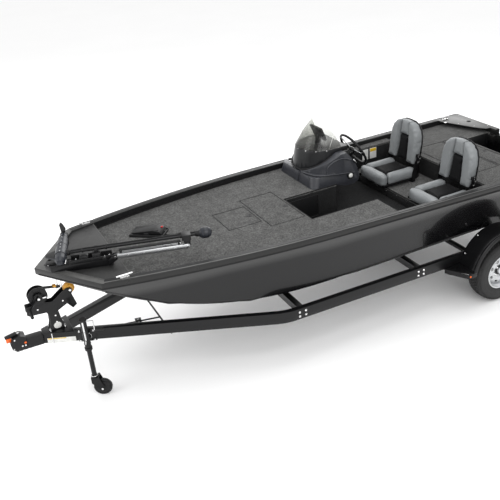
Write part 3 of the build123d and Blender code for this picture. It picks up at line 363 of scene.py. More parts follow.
def make_studio():
    bpy.ops.mesh.primitive_plane_add(size=80)
    floor = bpy.context.object
    floor.name = "floor"
    m = Nodes("pale floor", Roughness=0.9)
    m.color(m.ramp(m.noise(0.6, 2), [(0.3, (0.955, 0.955, 0.955)), (0.7, (0.97, 0.97, 0.97))]))
    assign(floor, m.mat)
    lamps = [
        ("key", (2.0, 6.5, 6.0), (0, 0, 0.6), 6.0, 300),
        ("top", (-0.5, -0.5, 7.5), (0, 0, 0.6), 6.0, 200),
        ("fill", (7.5, -1.0, 4.0), (0, 0, 0.8), 5.0, 150),
        ("back", (-5.0, -7.5, 5.0), (0, 0, 0.8), 6.0, 260),
    ]
    for name, place, target, size, power in lamps:
        data = bpy.data.lights.new(name, "AREA")
        data.energy, data.size = power, size
        lamp = bpy.data.objects.new(name, data)
        lamp.location = place
        lamp.rotation_mode = "QUATERNION"
        lamp.rotation_quaternion = (Vector(target) - Vector(place)).to_track_quat("-Z", "Y")
        bpy.context.scene.collection.objects.link(lamp)
    world = bpy.data.worlds.new("studio")
    world.use_nodes = True
    world.node_tree.nodes["Background"].inputs["Color"].default_value = (1, 1, 1, 1)
    world.node_tree.nodes["Background"].inputs["Strength"].default_value = 0.98
    bpy.context.scene.world = world
    bpy.context.scene.view_settings.view_transform = "Standard"


make_studio()

# Mesh helpers

UP = Vector((0, 0, 1))


def smoothed(obj):
    obj.data.polygons.foreach_set("use_smooth", [True] * len(obj.data.polygons))
    return obj


def linked(name, data):
    obj = bpy.data.objects.new(name, data)
    bpy.context.scene.collection.objects.link(obj)
    return obj


def mesh_object(name, verts, faces, smooth=True):
    """A mesh object from points in metres."""
    mesh = bpy.data.meshes.new(name)
    mesh.from_pydata([tuple(v) for v in verts], [], faces)
    mesh.update()
    obj = linked(name, mesh)
    return smoothed(obj) if smooth else obj


def turned_out(obj, merge=0.0):
    """Point every face outwards, after its doubles are merged where asked."""
    bm = bmesh.new()
    bm.from_mesh(obj.data)
    if merge:
        bmesh.ops.remove_doubles(bm, verts=bm.verts, dist=merge)
    bmesh.ops.recalc_face_normals(bm, faces=bm.faces)
    bm.to_mesh(obj.data)
    bm.free()
    return obj


def bake(obj):
    """Turn an object's modifiers into plain mesh."""
    graph = bpy.context.evaluated_depsgraph_get()
    mesh = bpy.data.meshes.new_from_object(obj.evaluated_get(graph))
    obj.modifiers.clear()
    old = obj.data
    obj.data = mesh
    if obj.type == "MESH" and old.users == 0:
        bpy.data.meshes.remove(old)
    return obj


def bevelled(obj, width, segments=3, angle=30):
    mod = obj.modifiers.new("bevel", "BEVEL")
    mod.width, mod.segments = width, segments
    mod.limit_method, mod.angle_limit = "ANGLE", math.radians(angle)
    mod.harden_normals = False
    return bake(obj)


def join(name, parts):
    """Several mesh objects as one, keeping their materials."""
    first = parts[0]
    bpy.ops.object.select_all(action="DESELECT")
    for part in parts:
        part.select_set(True)
    bpy.context.view_layer.objects.active = first
    bpy.ops.object.join()
    first.name = name
    return first


def plate(name, outline, place, depth, bevel=0.0, segments=3, look=None):
    """A flat outline given thickness: place(a, b, d) maps it to the frame."""
    n = len(outline)
    verts = [place(a, b, 0.0) for a, b in outline] + [place(a, b, depth) for a, b in outline]
    faces = [tuple(range(n))[::-1], tuple(range(n, 2 * n))]
    faces += [(i, (i + 1) % n, n + (i + 1) % n, n + i) for i in range(n)]
    obj = turned_out(mesh_object(name, verts, faces, False))
    if bevel:
        bevelled(obj, bevel, segments)
    smoothed(obj)
    obj.data.update()
    if look is not None:
        assign(obj, look)
    return obj


def lathe(name, profile, centre, axis, turns=48, look=None):
    """Points (radius, distance) turned about an axis through a point."""
    axis = Vector(axis).normalized()
    side = axis.orthogonal().normalized()
    other = axis.cross(side)
    verts, faces = [], []
    for i in range(turns):
        a = 2 * math.pi * i / turns
        out = side * math.cos(a) + other * math.sin(a)
        verts += [Vector(centre) + out * r + axis * d for r, d in profile]
    n = len(profile)
    for i in range(turns):
        j = (i + 1) % turns
        for k in range(n - 1):
            faces.append((i * n + k, j * n + k, j * n + k + 1, i * n + k + 1))
    obj = turned_out(mesh_object(name, verts, faces), 1e-6)
    if look is not None:
        assign(obj, look)
    return obj


def scaled(profile):
    """A lathe profile in millimetres, as metres."""
    return [(r / 1000, d / 1000) for r, d in profile]


def tube(name, points, radius, look=None):
    """A round bar along smooth NURBS points, in metres."""
    curve = bpy.data.curves.new(name, "CURVE")
    curve.dimensions = "3D"
    spline = curve.splines.new("NURBS")
    spline.points.add(len(points) - 1)
    for point, place in zip(spline.points, points):
        point.co = (*place, 1)
    spline.order_u = 3
    spline.use_endpoint_u = True
    spline.resolution_u = 8
    curve.bevel_depth = radius
    curve.bevel_resolution = 3
    curve.use_fill_caps = True
    obj = linked(name, curve)
    graph = bpy.context.evaluated_depsgraph_get()
    mesh = bpy.data.meshes.new_from_object(obj.evaluated_get(graph))
    bpy.data.objects.remove(obj)
    solid = smoothed(linked(name, mesh))
    if look is not None:
        assign(solid, look)
    return solid


# Places on the boat and the trailer, in millimetres

BODY_OF = {
    node: body for body, nodes in frame["record"]["behaviour"]["bodies"].items() for node in nodes
}
ROOT = "boat_and_trailer"
BOW_X, BOW_Y, BOW_YAW = 4893, 117, math.radians(17.4)
AXLE_X, RAIL_TOP, PITCH = 1108, 519, math.radians(1.5)
VEE_SLOPE, VEE_X, JACK_X = 0.443, 5201, 4839
VEE_ANGLE = math.atan(VEE_SLOPE)


def bow(s, v, z):
    """On the trolling motor: s aft along the shaft, v to starboard."""
    x = BOW_X - s * math.cos(BOW_YAW) - v * math.sin(BOW_YAW)
    return at(x, BOW_Y + s * math.sin(BOW_YAW) - v * math.cos(BOW_YAW), z)


def tilted(x, y, z):
    """On the trailer's frame, which leans nose-up."""
    run, rise = x - AXLE_X, z - RAIL_TOP
    return at(
        AXLE_X + run * math.cos(PITCH) - rise * math.sin(PITCH), y,
        RAIL_TOP + run * math.sin(PITCH) + rise * math.cos(PITCH),
    )


def jack(a, b, z):
    """On the tongue jack: a along the rail, b away from it."""
    c, sn = math.cos(VEE_ANGLE), math.sin(VEE_ANGLE)
    return at(JACK_X + a * c + b * sn, (VEE_X - JACK_X) * VEE_SLOPE - a * sn + b * c, z)


def piece(name, parts, body, look=None, replaces=()):
    """Join meshes into one named piece that rides on a body."""
    parts = parts if isinstance(parts, list) else [parts]
    if look is not None:
        for part in parts:
            assign(part, look)
    whole = join(name, parts)
    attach(whole, body)
    if replaces:
        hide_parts(*replaces)
    return whole


def sharp(obj, angle=35):
    """Smooth shading with creases kept."""
    smoothed(obj)
    obj.data.set_sharp_from_angle(angle=math.radians(angle))
    obj.data.update()
    return obj


def eased(node, width, look=None, angle=28):
    """A copy of a solid with its edges rounded, shown in its place."""
    source = NODES[node]
    obj = linked(f"{node}_shell", source.data.copy())
    obj.matrix_world = source.matrix_world
    bm = bmesh.new()
    bm.from_mesh(obj.data)
    bmesh.ops.remove_doubles(bm, verts=bm.verts, dist=2e-5)
    bmesh.ops.dissolve_limit(bm, angle_limit=math.radians(0.6), verts=bm.verts, edges=bm.edges)
    bm.to_mesh(obj.data)
    bm.free()
    bevelled(obj, width / 1000, 2, angle)
    sharp(obj, 40)
    assign(obj, look or LOOKS[node])
    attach(obj, BODY_OF[node])
    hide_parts(node)
    return obj


def bar(name, a, b, radius, look=None, place=at, sides=20, chamfer=0.18):
    """A round bar between two points in millimetres, its ends chamfered."""
    start, end = place(*a), place(*b)
    r, length = radius / 1000, (end - start).length
    c = min(r * chamfer, length / 4)
    profile = [(0, 0), (r - c, 0), (r, c), (r, length - c), (r - c, length), (0, length)]
    return sharp(lathe(name, profile, start, end - start, sides, look))


def brick(name, low, high, edge=1.5, look=None, place=at, segments=2):
    """A block with rounded edges between two opposite corners in millimetres."""
    (x0, x1), (y0, y1), (z0, z1) = (sorted(pair) for pair in zip(low, high))
    outline = [(x0, y0), (x1, y0), (x1, y1), (x0, y1)]
    return plate(name, outline, lambda a, b, d: place(a, b, z0 + d), z1 - z0, edge / 1000, segments, look)


def ring(name, centre, axis, radius, thick, look=None, turns=56, sides=10):
    """A round ring of wire, in millimetres; the centre is already in the frame."""
    profile = []
    for i in range(sides + 1):
        a = 2 * math.pi * i / sides
        profile.append(((radius + thick * math.cos(a)) / 1000, thick * math.sin(a) / 1000))
    return lathe(name, profile, centre, axis, turns, look)


def around(count, start=0.0):
    """The cosine and sine of evenly spaced turns round a circle."""
    for k in range(count):
        a = 2 * math.pi * (k + start) / count
        yield math.cos(a), math.sin(a)


def direction(place, a, b, c):
    """The way that a place's own axes point, as a vector of the frame."""
    return place(a, b, c) - place(0, 0, 0)


def stud_tree():
    """Geometry nodes: one item set on every point, its Z along the point's axis, made real."""
    tree = bpy.data.node_groups.new("studs", "GeometryNodeTree")
    face = tree.interface
    face.new_socket("Points", in_out="INPUT", socket_type="NodeSocketGeometry")
    face.new_socket("Item", in_out="INPUT", socket_type="NodeSocketObject")
    face.new_socket("Look", in_out="INPUT", socket_type="NodeSocketMaterial")
    face.new_socket("Size", in_out="INPUT", socket_type="NodeSocketFloat")
    face.new_socket("Studs", in_out="OUTPUT", socket_type="NodeSocketGeometry")
    nodes, link = tree.nodes, tree.links.new
    given, out = nodes.new("NodeGroupInput"), nodes.new("NodeGroupOutput")
    axis = nodes.new("GeometryNodeInputNamedAttribute")
    axis.data_type = "FLOAT_VECTOR"
    axis.inputs["Name"].default_value = "axis"
    turn = nodes.new("FunctionNodeAlignRotationToVector")
    turn.axis = "Z"
    item = nodes.new("GeometryNodeObjectInfo")
    put = nodes.new("GeometryNodeInstanceOnPoints")
    real = nodes.new("GeometryNodeRealizeInstances")
    look = nodes.new("GeometryNodeSetMaterial")
    link(axis.outputs["Attribute"], turn.inputs["Vector"])
    link(given.outputs["Item"], item.inputs["Object"])
    link(given.outputs["Points"], put.inputs["Points"])
    link(item.outputs["Geometry"], put.inputs["Instance"])
    link(turn.outputs["Rotation"], put.inputs["Rotation"])
    link(given.outputs["Size"], put.inputs["Scale"])
    link(put.outputs["Instances"], real.inputs["Geometry"])
    link(real.outputs["Geometry"], look.inputs["Geometry"])
    link(given.outputs["Look"], look.inputs["Material"])
    link(look.outputs["Geometry"], out.inputs["Studs"])
    return tree, {row.name: row.identifier for row in face.items_tree if row.in_out == "INPUT"}


STUD_TREE, STUD_INPUTS = stud_tree()


def studs(name, item, rows, look, size=1.0):
    """Copies of one small mesh at (point, axis) rows."""
    mesh = bpy.data.meshes.new(name)
    mesh.from_pydata([tuple(point) for point, _ in rows], [], [])
    axes = mesh.attributes.new("axis", "FLOAT_VECTOR", "POINT")
    axes.data.foreach_set("vector", [c for _, axis in rows for c in Vector(axis).normalized()])
    obj = linked(name, mesh)
    mod = obj.modifiers.new("studs", "NODES")
    mod.node_group = STUD_TREE
    mod[STUD_INPUTS["Item"]] = item
    mod[STUD_INPUTS["Look"]] = look
    mod[STUD_INPUTS["Size"]] = size
    smoothed(bake(obj))
    obj.data.set_sharp_from_angle(angle=math.radians(35))
    return obj


def hex_bolt():
    """A hexagon head on a washer, 10 mm across flats, standing on Z."""
    head = [(0, 6.8), (4.2, 6.8), (5.8, 5.6), (5.8, 1.2), (0, 1.2)]
    washer = [(0, 1.4), (8.6, 1.4), (9, 1), (9, 0), (0, 0)]
    parts = [("bolt_head", head, 6), ("bolt_washer", washer, 20)]
    made = [lathe(name, scaled(profile), (0, 0, 0), UP, turns) for name, profile, turns in parts]
    return join("bolt", made)


def round_screw():
    """A pan-head screw, 8 mm across, with a shallow round recess."""
    profile = [(0, 1.2), (1.2, 1.2), (1.6, 2.6), (3, 2.2), (4, 0.8), (4, 0)]
    return lathe("screw", scaled(profile), (0, 0, 0), UP, 16)


BOLT, SCREW = hex_bolt(), round_screw()
HIDDEN_ITEMS = [BOLT, SCREW]

# Solids whose edges are rounded as they are

for node_name, width in (
    ("gunwale_rim", 4), ("bow_panel", 3), ("trailer_frame", 5), ("winch_stand", 1.5), ("coupler", 4),
    ("coupler_lever", 2), ("jack_bracket", 2), ("console", 6), ("console_visor", 4), ("display", 3),
    ("trolling_mount", 3), ("trolling_arm", 2), ("trolling_housing", 3), ("outboard_cowl", 14),
    ("outboard_leg", 4), ("outboard_gearcase", 2.5), ("outboard_clamp", 2.5), ("outboard_swivel", 3),
    ("seat_frames", 2), ("tail_lights", 2.5), ("fender_steps", 2), ("springs", 1.5), ("trolling_pedal", 3),
    ("hatch_lid_fore", 3), ("hatch_lid_middle", 3), ("hatch_lid_rear", 3), ("hatch_lid_aft", 3),
):
    eased(node_name, width)


def paint_rim_top_highlight():
    """The gunwale's top faces get the lighter grey as a painted highlight; its sides get a darker grey, and
    its bow the bow panel's grey.
    """
    rim = bpy.data.objects["gunwale_rim_shell"]
    rim.data.materials.append(RIM_SIDE)
    rim.data.materials.append(PANEL)
    for face in rim.data.polygons:
        x = (rim.matrix_world @ face.center).x * 1000 + ORIGIN_X
        if abs(face.normal.z) < 0.6:
            face.material_index = 1
        elif x > 4700:
            face.material_index = 2


paint_rim_top_highlight()

# Seats: each is sewn from separate stuffed panels

SEATS = [("driver", 1268, -328), ("port", 1230, 428)]
HINGE_Z = 1108
PADS = []


def soft_pad(name, outline, place, depth, round_edge, look):
    """A stuffed panel: closed, rounded, later blown up by cloth pressure."""
    pad = plate(name, outline, place, depth, round_edge, 4)
    assign(pad, look)
    PADS.append(pad)
    return pad


def seat_pads(seat, hinge_x, middle):
    lean = math.radians(8)

    def cushion_place(low):
        return lambda a, b, d: at(hinge_x + a, middle + b, low + d)

    def back_place(front):
        def place(a, b, d):
            x = front - d
            return at(
                hinge_x + x * math.cos(lean) - b * math.sin(lean),
                middle + a,
                HINGE_Z + b * math.cos(lean) + x * math.sin(lean),
            )
        return place

    made = []
    low = 949
    sides = [(4, 118), (320, 122), (352, 210), (4, 212)]
    for tag, flip in (("left", 1), ("right", -1)):
        outline = [(x, flip * y) for x, y in sides]
        name = f"seat_{seat}_bolster_{tag}"
        made.append(soft_pad(name, outline, cushion_place(low - 16), 112, 0.03, VINYL))
    front = [(322, 119), (354, 205), (418, 196), (432, 120), (433, 0)]
    front = [(x, -y) for x, y in front] + front[-2::-1]
    made.append(soft_pad(f"seat_{seat}_front_roll", front, cushion_place(low - 22), 116, 0.034, VINYL))
    insert = [(2, -116), (318, -116), (318, 116), (2, 116)]
    made.append(soft_pad(f"seat_{seat}_insert", insert, cushion_place(low), 74, 0.014, VINYL_DARK))
    backs = []
    arch = [(204, -28), (213, 110), (213, 190), (203, 262), (178, 320), (132, 363), (72, 383)]
    for tag, flip in (("left", 1), ("right", -1)):
        outline = [(flip * 92, -28)] + [(flip * y, z) for y, z in arch] + [(flip * 62, 372),
                                                                           (flip * 70, 242)]
        backs.append(soft_pad(f"seat_{seat}_back_{tag}", outline, back_place(42), 84, 0.026, VINYL))
    top = [(-67, 238), (67, 238), (60, 370), (68, 384), (0, 388), (-68, 384), (-60, 370)]
    backs.append(soft_pad(f"seat_{seat}_back_top", top, back_place(32), 68, 0.02, VINYL))
    panel = [(-89, -28), (89, -28), (67, 234), (-67, 234)]
    backs.append(soft_pad(f"seat_{seat}_back_insert", panel, back_place(26), 62, 0.014, VINYL_DARK))
    shell_arch = [(210, -24), (215, 110), (215, 192), (206, 266), (181, 325), (135, 368), (74, 389),
                  (0, 393)]
    shell_outline = shell_arch + [(-y, z) for y, z in shell_arch[-2::-1]]
    shell = plate(f"seat_{seat}_back_shell", shell_outline, back_place(-36), 10, 0.004, 2)
    assign(shell, BLACK)
    return made, backs, shell


def swell(pads):
    """Blow the panels up together, limit how far any point moves, and keep the result as plain mesh."""
    scene = bpy.context.scene
    starts = {}
    for pad in pads:
        remesh = pad.modifiers.new("remesh", "REMESH")
        remesh.mode, remesh.voxel_size = "VOXEL", 0.0065
        bake(pad)
        assign(pad, PAD_LOOKS[pad.name])
        starts[pad.name] = [v.co.copy() for v in pad.data.vertices]
        cloth = pad.modifiers.new("cloth", "CLOTH")
        cloth.settings.use_pressure = True
        cloth.settings.uniform_pressure_force = 4.0
        cloth.settings.effector_weights.gravity = 0
        cloth.settings.quality = 4
        cloth.settings.mass = 0.3
        cloth.collision_settings.use_collision = False
        cloth.point_cache.frame_start, cloth.point_cache.frame_end = 1, 20
    for step in range(1, 21):
        scene.frame_set(step)
    for pad in pads:
        bake(pad)
        cap = 0.009
        for vertex, start in zip(pad.data.vertices, starts[pad.name]):
            move = vertex.co - start
            if move.length > cap:
                vertex.co = start + move * (cap / move.length)
        smooth = pad.modifiers.new("smooth", "SMOOTH")
        smooth.factor, smooth.iterations = 0.5, 6
        bake(pad)
        sub = pad.modifiers.new("subdivision", "SUBSURF")
        sub.levels = sub.render_levels = 1
        bake(pad)
        smoothed(pad)
        assign(pad, PAD_LOOKS[pad.name])
    scene.frame_set(1)


SEAT_SETS = [(name, *seat_pads(name, x, y)) for name, x, y in SEATS]
PAD_LOOKS = {pad.name: pad.material_slots[0].material for pad in PADS}
swell(PADS)
for seat, cushions, backs, shell in SEAT_SETS:
    back_body = f"{seat}_seat_back"
    for pad in cushions:
        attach(pad, "boat_and_trailer")
        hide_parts("seat_cushions")
    for pad in backs:
        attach(pad, back_body)
    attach(shell, back_body)
    for part in backs + [shell]:
        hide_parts(f"seat_back_{seat}")

# Wheels

TYRE_R, TYRE_WIDTH, TYRE_MID = 304, 177, 926.5
TREAD_ROWS, TREAD_COUNT, SHOULDER_COUNT = 5, 56, 72


def loose(x, y, z):
    """Round the origin, for an item that geometry nodes set in its places."""
    return Vector((x, y, z)) / 1000


def tread_block():
    """One tread block standing on Z."""
    return brick("tread_block", (-11, -9, 0), (11, 9, 8.5), 1.2, None, loose, 1)


def make_tyre(side, body, item):
    """Carcass with sidewall rings, and tread blocks set by geometry nodes."""
    centre = at(AXLE_X, side * TYRE_MID, TYRE_R)
    half = TYRE_WIDTH / 2
    profile = [
        (167, -62), (178, -66), (184, -78), (196, -81), (199, -84), (203, -82), (232, -half + 1),
        (236, -half - 0.5),
        (240, -half + 1), (262, -half + 3), (280, -half + 10), (292, -half + 20), (295.5, -56), (296, -30),
        (292, -29), (292, -22), (296, -21), (296, 21), (292, 22), (292, 29), (296, 30), (295.5, 56),
        (292, half - 20), (280, half - 10), (262, half - 3), (240, half - 1), (236, half + 0.5),
        (232, half - 1),
        (203, 82), (199, 84), (196, 81), (184, 78), (178, 66), (167, 62), (167, -62),
    ]
    carcass = lathe("carcass", scaled(profile), centre, (0, side, 0), 128)
    rows = []
    for row in range(TREAD_ROWS):
        across = (row - (TREAD_ROWS - 1) / 2) * 27
        lift = 296 - 0.0022 * across * across
        for c, sn in around(TREAD_COUNT, 0.5 * (row % 2)):
            out = Vector((c, 0, sn))
            place = centre + out * (lift - 1) / 1000 + Vector((0, across / 1000, 0))
            rows.append((place, out))
    blocks = studs("tread", item, rows, TYRE)
    ribs = []
    for c, sn in around(SHOULDER_COUNT):
        out = Vector((c, 0, sn))
        for face in (-1, 1):
            side = Vector((0, face, 0))
            ribs.append((centre + out * 0.283 + side * 0.079, out + side * 0.9))
    parts = [carcass, blocks, studs("shoulder", item, ribs, TYRE, 0.62)]
    piece(f"tyre_{body}_tread", parts, f"{body}_wheel", TYRE, [f"tyre_{body}"])


def make_rim(side, body):
    """Pressed steel wheel: barrel, dished disc with round holes, hub, nuts and valve."""
    centre = at(AXLE_X, side * TYRE_MID, TYRE_R)
    lip, out = 65, Vector((0, side, 0))
    barrel = [
        (163, -lip - 4), (175, -lip - 4), (176, -lip), (174, -lip + 2), (165, -lip + 1), (163, -lip + 8),
        (150, -lip + 22),
        (150, lip - 22), (163, lip - 8), (165, lip - 1), (174, lip - 2), (176, lip), (175, lip + 4),
        (163, lip + 4),
        (158, lip - 6), (146, lip - 22), (146, -lip + 22), (158, -lip + 6), (163, -lip - 4),
    ]
    parts = [lathe("barrel", scaled(barrel), centre, out, 96)]
    disc = [(30, 24), (52, 24), (58, 28), (78, 40), (96, 44), (118, 38), (138, 22), (148, 14), (148, 9),
            (136, 16),
            (116, 32), (96, 38), (78, 34), (56, 22), (30, 18), (30, 24)]
    web = lathe("disc", scaled(disc), centre, out, 96)
    cutters = []
    side_axis = out.orthogonal().normalized()
    for k in range(8):
        turn = Quaternion(out, 2 * math.pi * (k + 0.5) / 8)
        arm = turn @ side_axis
        place = centre + arm * 0.112
        hole = lathe("hole", [(0, -0.04), (0.0125, -0.04), (0.0125, 0.08), (0, 0.08)], place, out, 24)
        widen = Matrix.Scale(1.5, 4, arm.cross(out))
        hole.data.transform(Matrix.Translation(place) @ widen @ Matrix.Translation(-place))
        cutters.append(hole)
    cutter = join("holes", cutters)
    cut = web.modifiers.new("holes", "BOOLEAN")
    cut.object, cut.solver = cutter, "EXACT"
    bake(web)
    bpy.data.objects.remove(cutter)
    parts.append(web)
    for part in parts:
        sharp(part, 30)
        assign(part, WHEEL)
    cap_profile = [(30, 14), (30, 52), (27, 58), (24, 60), (18, 61), (0, 62)]
    cap = lathe("cap", scaled(cap_profile), centre, out, 40)
    bead = lathe("hub_step", scaled([(52, 22), (47, 28), (36, 30), (30, 34)]), centre, out, 40)
    nuts = []
    for k in range(5):
        arm = Quaternion(out, 2 * math.pi * k / 5) @ side_axis
        nuts.append((centre + arm * 0.062 + out * 0.030, out))
    nut_profile = [(0, 19), (6, 19), (10.5, 14), (11.5, 0), (0, 0)]
    nut = lathe("nut", scaled(nut_profile), (0, 0, 0), UP, 6)
    lugs = studs("lugs", nut, nuts, BRIGHT)
    bpy.data.objects.remove(nut)
    valve_base = centre + side_axis * 0.138 + out * 0.026
    valve = bar("valve", (0, 0, 0), (0, 0, 26), 3.4, BLACK, lambda x, y, z: valve_base + out * z / 1000, 12)
    for part, look in ((cap, BRIGHT), (bead, STEEL_BLACK), (lugs, BRIGHT), (valve, BLACK)):
        assign(part, look)
        parts.append(part)
    piece(f"wheel_{body}_rim", parts, f"{body}_wheel", None, [f"wheel_rim_{body}"])


BLOCK = tread_block()
HIDDEN_ITEMS.append(BLOCK)
for side, body in ((1, "port"), (-1, "starboard")):
    make_tyre(side, body, BLOCK)
    make_rim(side, body)

# Fenders: a skin with a rolled bead, stays and a lipped step with its marker lamp

FENDER_R, FENDER_Z, FENDER_OUT, FENDER_LOW, RAIL_OUT = 400, 345, 1040, 440, 820


def make_fender(side, tag):
    start = math.asin((FENDER_LOW - FENDER_Z) / FENDER_R)
    steps = 48
    # Section across the fender: radius, distance out from the rail
    section = [
        (400, 0), (400, 150), (400, 178), (397, 186), (399, 190), (403.5, 196), (405, 203), (403.5, 210),
        (399, 215),
        (392, 218), (380, 219.5), (374, 219.5), (374, 216.5), (388, 215), (394, 210), (396, 200),
        (394, 190), (395, 178),
        (396, 150), (396, 0),
    ]
    verts, faces = [], []
    n = len(section)
    for i in range(steps + 1):
        a = start + (math.pi - 2 * start) * i / steps
        for r, y in section:
            verts.append(at(AXLE_X + r * math.cos(a), side * (RAIL_OUT + y), FENDER_Z + r * math.sin(a)))
    for i in range(steps):
        for k in range(n):
            a, b = i * n + k, i * n + (k + 1) % n
            faces.append((a, b, b + n, a + n))
    faces += [tuple(range(n)), tuple(range(steps * n, steps * n + n))]
    skin = sharp(turned_out(mesh_object("skin", verts, faces)), 40)
    parts = [skin]
    for a in (42, 90, 138):
        c, sn = math.cos(math.radians(a)), math.sin(math.radians(a))
        x, z = AXLE_X + 393 * c, FENDER_Z + 393 * sn
        y0, y1 = side * (RAIL_OUT + 4), side * (RAIL_OUT + 172)
        parts.append(bar("stay", (x, y0, z), (x, y1, z), 5))
        if a == 90:
            parts.append(brick("stay_post", (x - 14, side * 812, 528), (x + 14, side * 824, 741), 1.5))
    for part in parts:
        assign(part, STEEL_BLACK)
    bolts = []
    for a in (30, 60, 120, 150):
        out = Vector((math.cos(math.radians(a)), 0, math.sin(math.radians(a))))
        bolts.append((at(AXLE_X + 400 * out.x, side * (RAIL_OUT + 22), FENDER_Z + 400 * out.z), out))
    parts.append(studs("fender_bolts", BOLT, bolts, BRIGHT))
    piece(f"fender_{tag}", parts, ROOT, None, ["fenders"])


def make_step(side, tag):
    """The apron of the fender's step, with a turned-down lip, tread bars and a lamp."""
    reach = math.sqrt(FENDER_R ** 2 - (FENDER_LOW - FENDER_Z) ** 2)
    near, far = AXLE_X + reach - 22, AXLE_X + reach + 185
    inner, outer = RAIL_OUT, FENDER_OUT
    edge = [(near, outer - 1), (near + 60, outer - 1), (near + 96, outer - 12), (far - 44, inner + 84),
            (far - 22, inner + 52), (far - 8, inner + 4)]
    verts, faces = [], []
    for x, y in edge:
        verts += [at(x, side * y, FENDER_LOW + 1), at(x, side * y, FENDER_LOW - 46),
                  at(x - 3, side * (y - 3), FENDER_LOW - 46), at(x - 3, side * (y - 3), FENDER_LOW - 9)]
    for i in range(len(edge) - 1):
        for k in range(4):
            a, b = 4 * i + k, 4 * i + (k + 1) % 4
            faces.append((a, b, b + 4, a + 4))
    faces += [(0, 1, 2, 3), tuple(range(4 * len(edge) - 4, 4 * len(edge)))]
    apron = turned_out(mesh_object("apron", verts, faces))
    sharp(bevelled(apron, 0.0015, 2), 40)
    parts = [apron]
    for k in range(6):
        x = near + 34 + k * 21
        y = inner + (outer - inner) * (0.72 if k < 3 else 0.72 - 0.16 * (k - 2))
        start, end = (x, side * (inner + 14), FENDER_LOW + 1), (x, side * y, FENDER_LOW + 1)
        parts.append(bar("tread_bar", start, end, 2.4, sides=10))
    for part in parts:
        assign(part, STEEL_BLACK)
    x, y, z = near + 78, outer - 4, FENDER_LOW - 22
    base = bar("lamp_base", (x, side * (y - 3), z), (x, side * (y + 2), z), 12, BLACK)
    lens = bar("lamp_lens", (x, side * (y + 1), z), (x, side * (y + 6), z), 9, ORANGE, chamfer=0.5)
    piece(f"fender_step_{tag}_apron", parts + [base, lens], ROOT)


for side, tag in ((1, "port"), (-1, "starboard")):
    make_fender(side, tag)
    make_step(side, tag)

# Helm

HELM, HELM_TILT = (1848, -400, 1300), math.radians(29)
HELM_OUT = Vector((-math.cos(HELM_TILT), 0, math.sin(HELM_TILT)))
HELM_SIDE = Vector((0, 1, 0))
HELM_UP = HELM_OUT.cross(HELM_SIDE)


def helm(a, b, c):
    """On the steering wheel: a to port, b along the wheel's face, c out towards the driver."""
    return at(*HELM) + (HELM_SIDE * a + HELM_UP * b + HELM_OUT * c) / 1000


def make_helm():
    verts, faces = [], []
    turns, sides = 144, 16
    for i in range(turns):
        a = 2 * math.pi * i / turns
        # The grip swells between finger notches.
        thick = 12.6 + 0.7 * math.cos(a * 24)
        for k in range(sides):
            b = 2 * math.pi * k / sides
            r = 180 + thick * math.cos(b)
            verts.append(helm(r * math.cos(a), r * math.sin(a), thick * 0.98 * math.sin(b)))
    for i in range(turns):
        for k in range(sides):
            j, m = (i + 1) % turns, (k + 1) % sides
            faces.append((i * sides + k, j * sides + k, j * sides + m, i * sides + m))
    parts = [mesh_object("grip", verts, faces)]
    assign(parts[0], BLACK)
    for angle in (0, 130, 230):
        a = math.radians(angle)
        c, sn = math.cos(a), math.sin(a)

        def along_spoke(r, w, d):
            return helm(r * c - w * sn, r * sn + w * c, d)

        outline = [(28, -17), (28, 17), (96, 11), (150, 12), (172, 19), (172, -19), (150, -12), (96, -11)]
        slot = [(62, -5), (62, 5), (140, 4.5), (140, -4.5)]
        parts.append(plate("spoke", outline, lambda r, w, d: along_spoke(r, w, -12 + d * 1000),
                           0.005, 0.0012, 2, SILVER))
        parts.append(plate("spoke_slot", slot, lambda r, w, d: along_spoke(r, w, -7.4 + d * 1000),
                           0.0008, 0.0003, 1, BLACK))
    centre = at(*HELM)
    cap_profile = [(0, -36), (36, -36), (38, -12), (36, -3), (30, 0), (0, 1)]
    disc_profile = [(29, 0), (28, 2.2), (22, 3.4), (0, 4)]
    parts.append(lathe("cap", scaled(cap_profile), centre, HELM_OUT, 48, BLACK))
    parts.append(lathe("cap_disc", scaled(disc_profile), centre, HELM_OUT, 48, BLUE_GREY))
    parts.append(ring("cap_ring", centre + HELM_OUT * 0.001, HELM_OUT, 30.5, 1.6, BRIGHT))
    piece("helm_wheel", parts, "helm", None, ["steering_wheel"])
    boot = []
    for k in range(7):
        fold = centre - HELM_OUT * (0.052 + 0.013 * k)
        boot.append(ring("boot_fold", fold, HELM_OUT, 27 + 3 * k, 7.5, BLACK, 40))
    bezel_profile = [(60, -128), (62, -146), (55, -150), (30, -150)]
    bezel = lathe("bezel", scaled(bezel_profile), centre, HELM_OUT, 48, BLACK)
    lever = bar("tilt_lever", (34, -20, -70), (82, -44, -62), 3.2, BRIGHT, helm)
    knob_profile = [(0, 0), (8, 2), (10, 10), (8, 20), (0, 22)]
    lever_way = helm(82, -44, -62) - helm(34, -20, -70)
    knob = lathe("tilt_knob", scaled(knob_profile), helm(80, -43, -62), lever_way, 20, BLACK)
    piece("helm_boot", boot + [bezel, lever, knob], ROOT)


make_helm()

# Trims along the hull

STERN_HALF, MID_X, MID_HALF, CORNER_X, CORNER_HALF, HULL_LENGTH = 940, 2800, 826, 4720, 536, 5099
DECK_Z, REAR_DECK_Z, PANEL_X, PANEL_Z = 1125, 1100, 4489, 1186


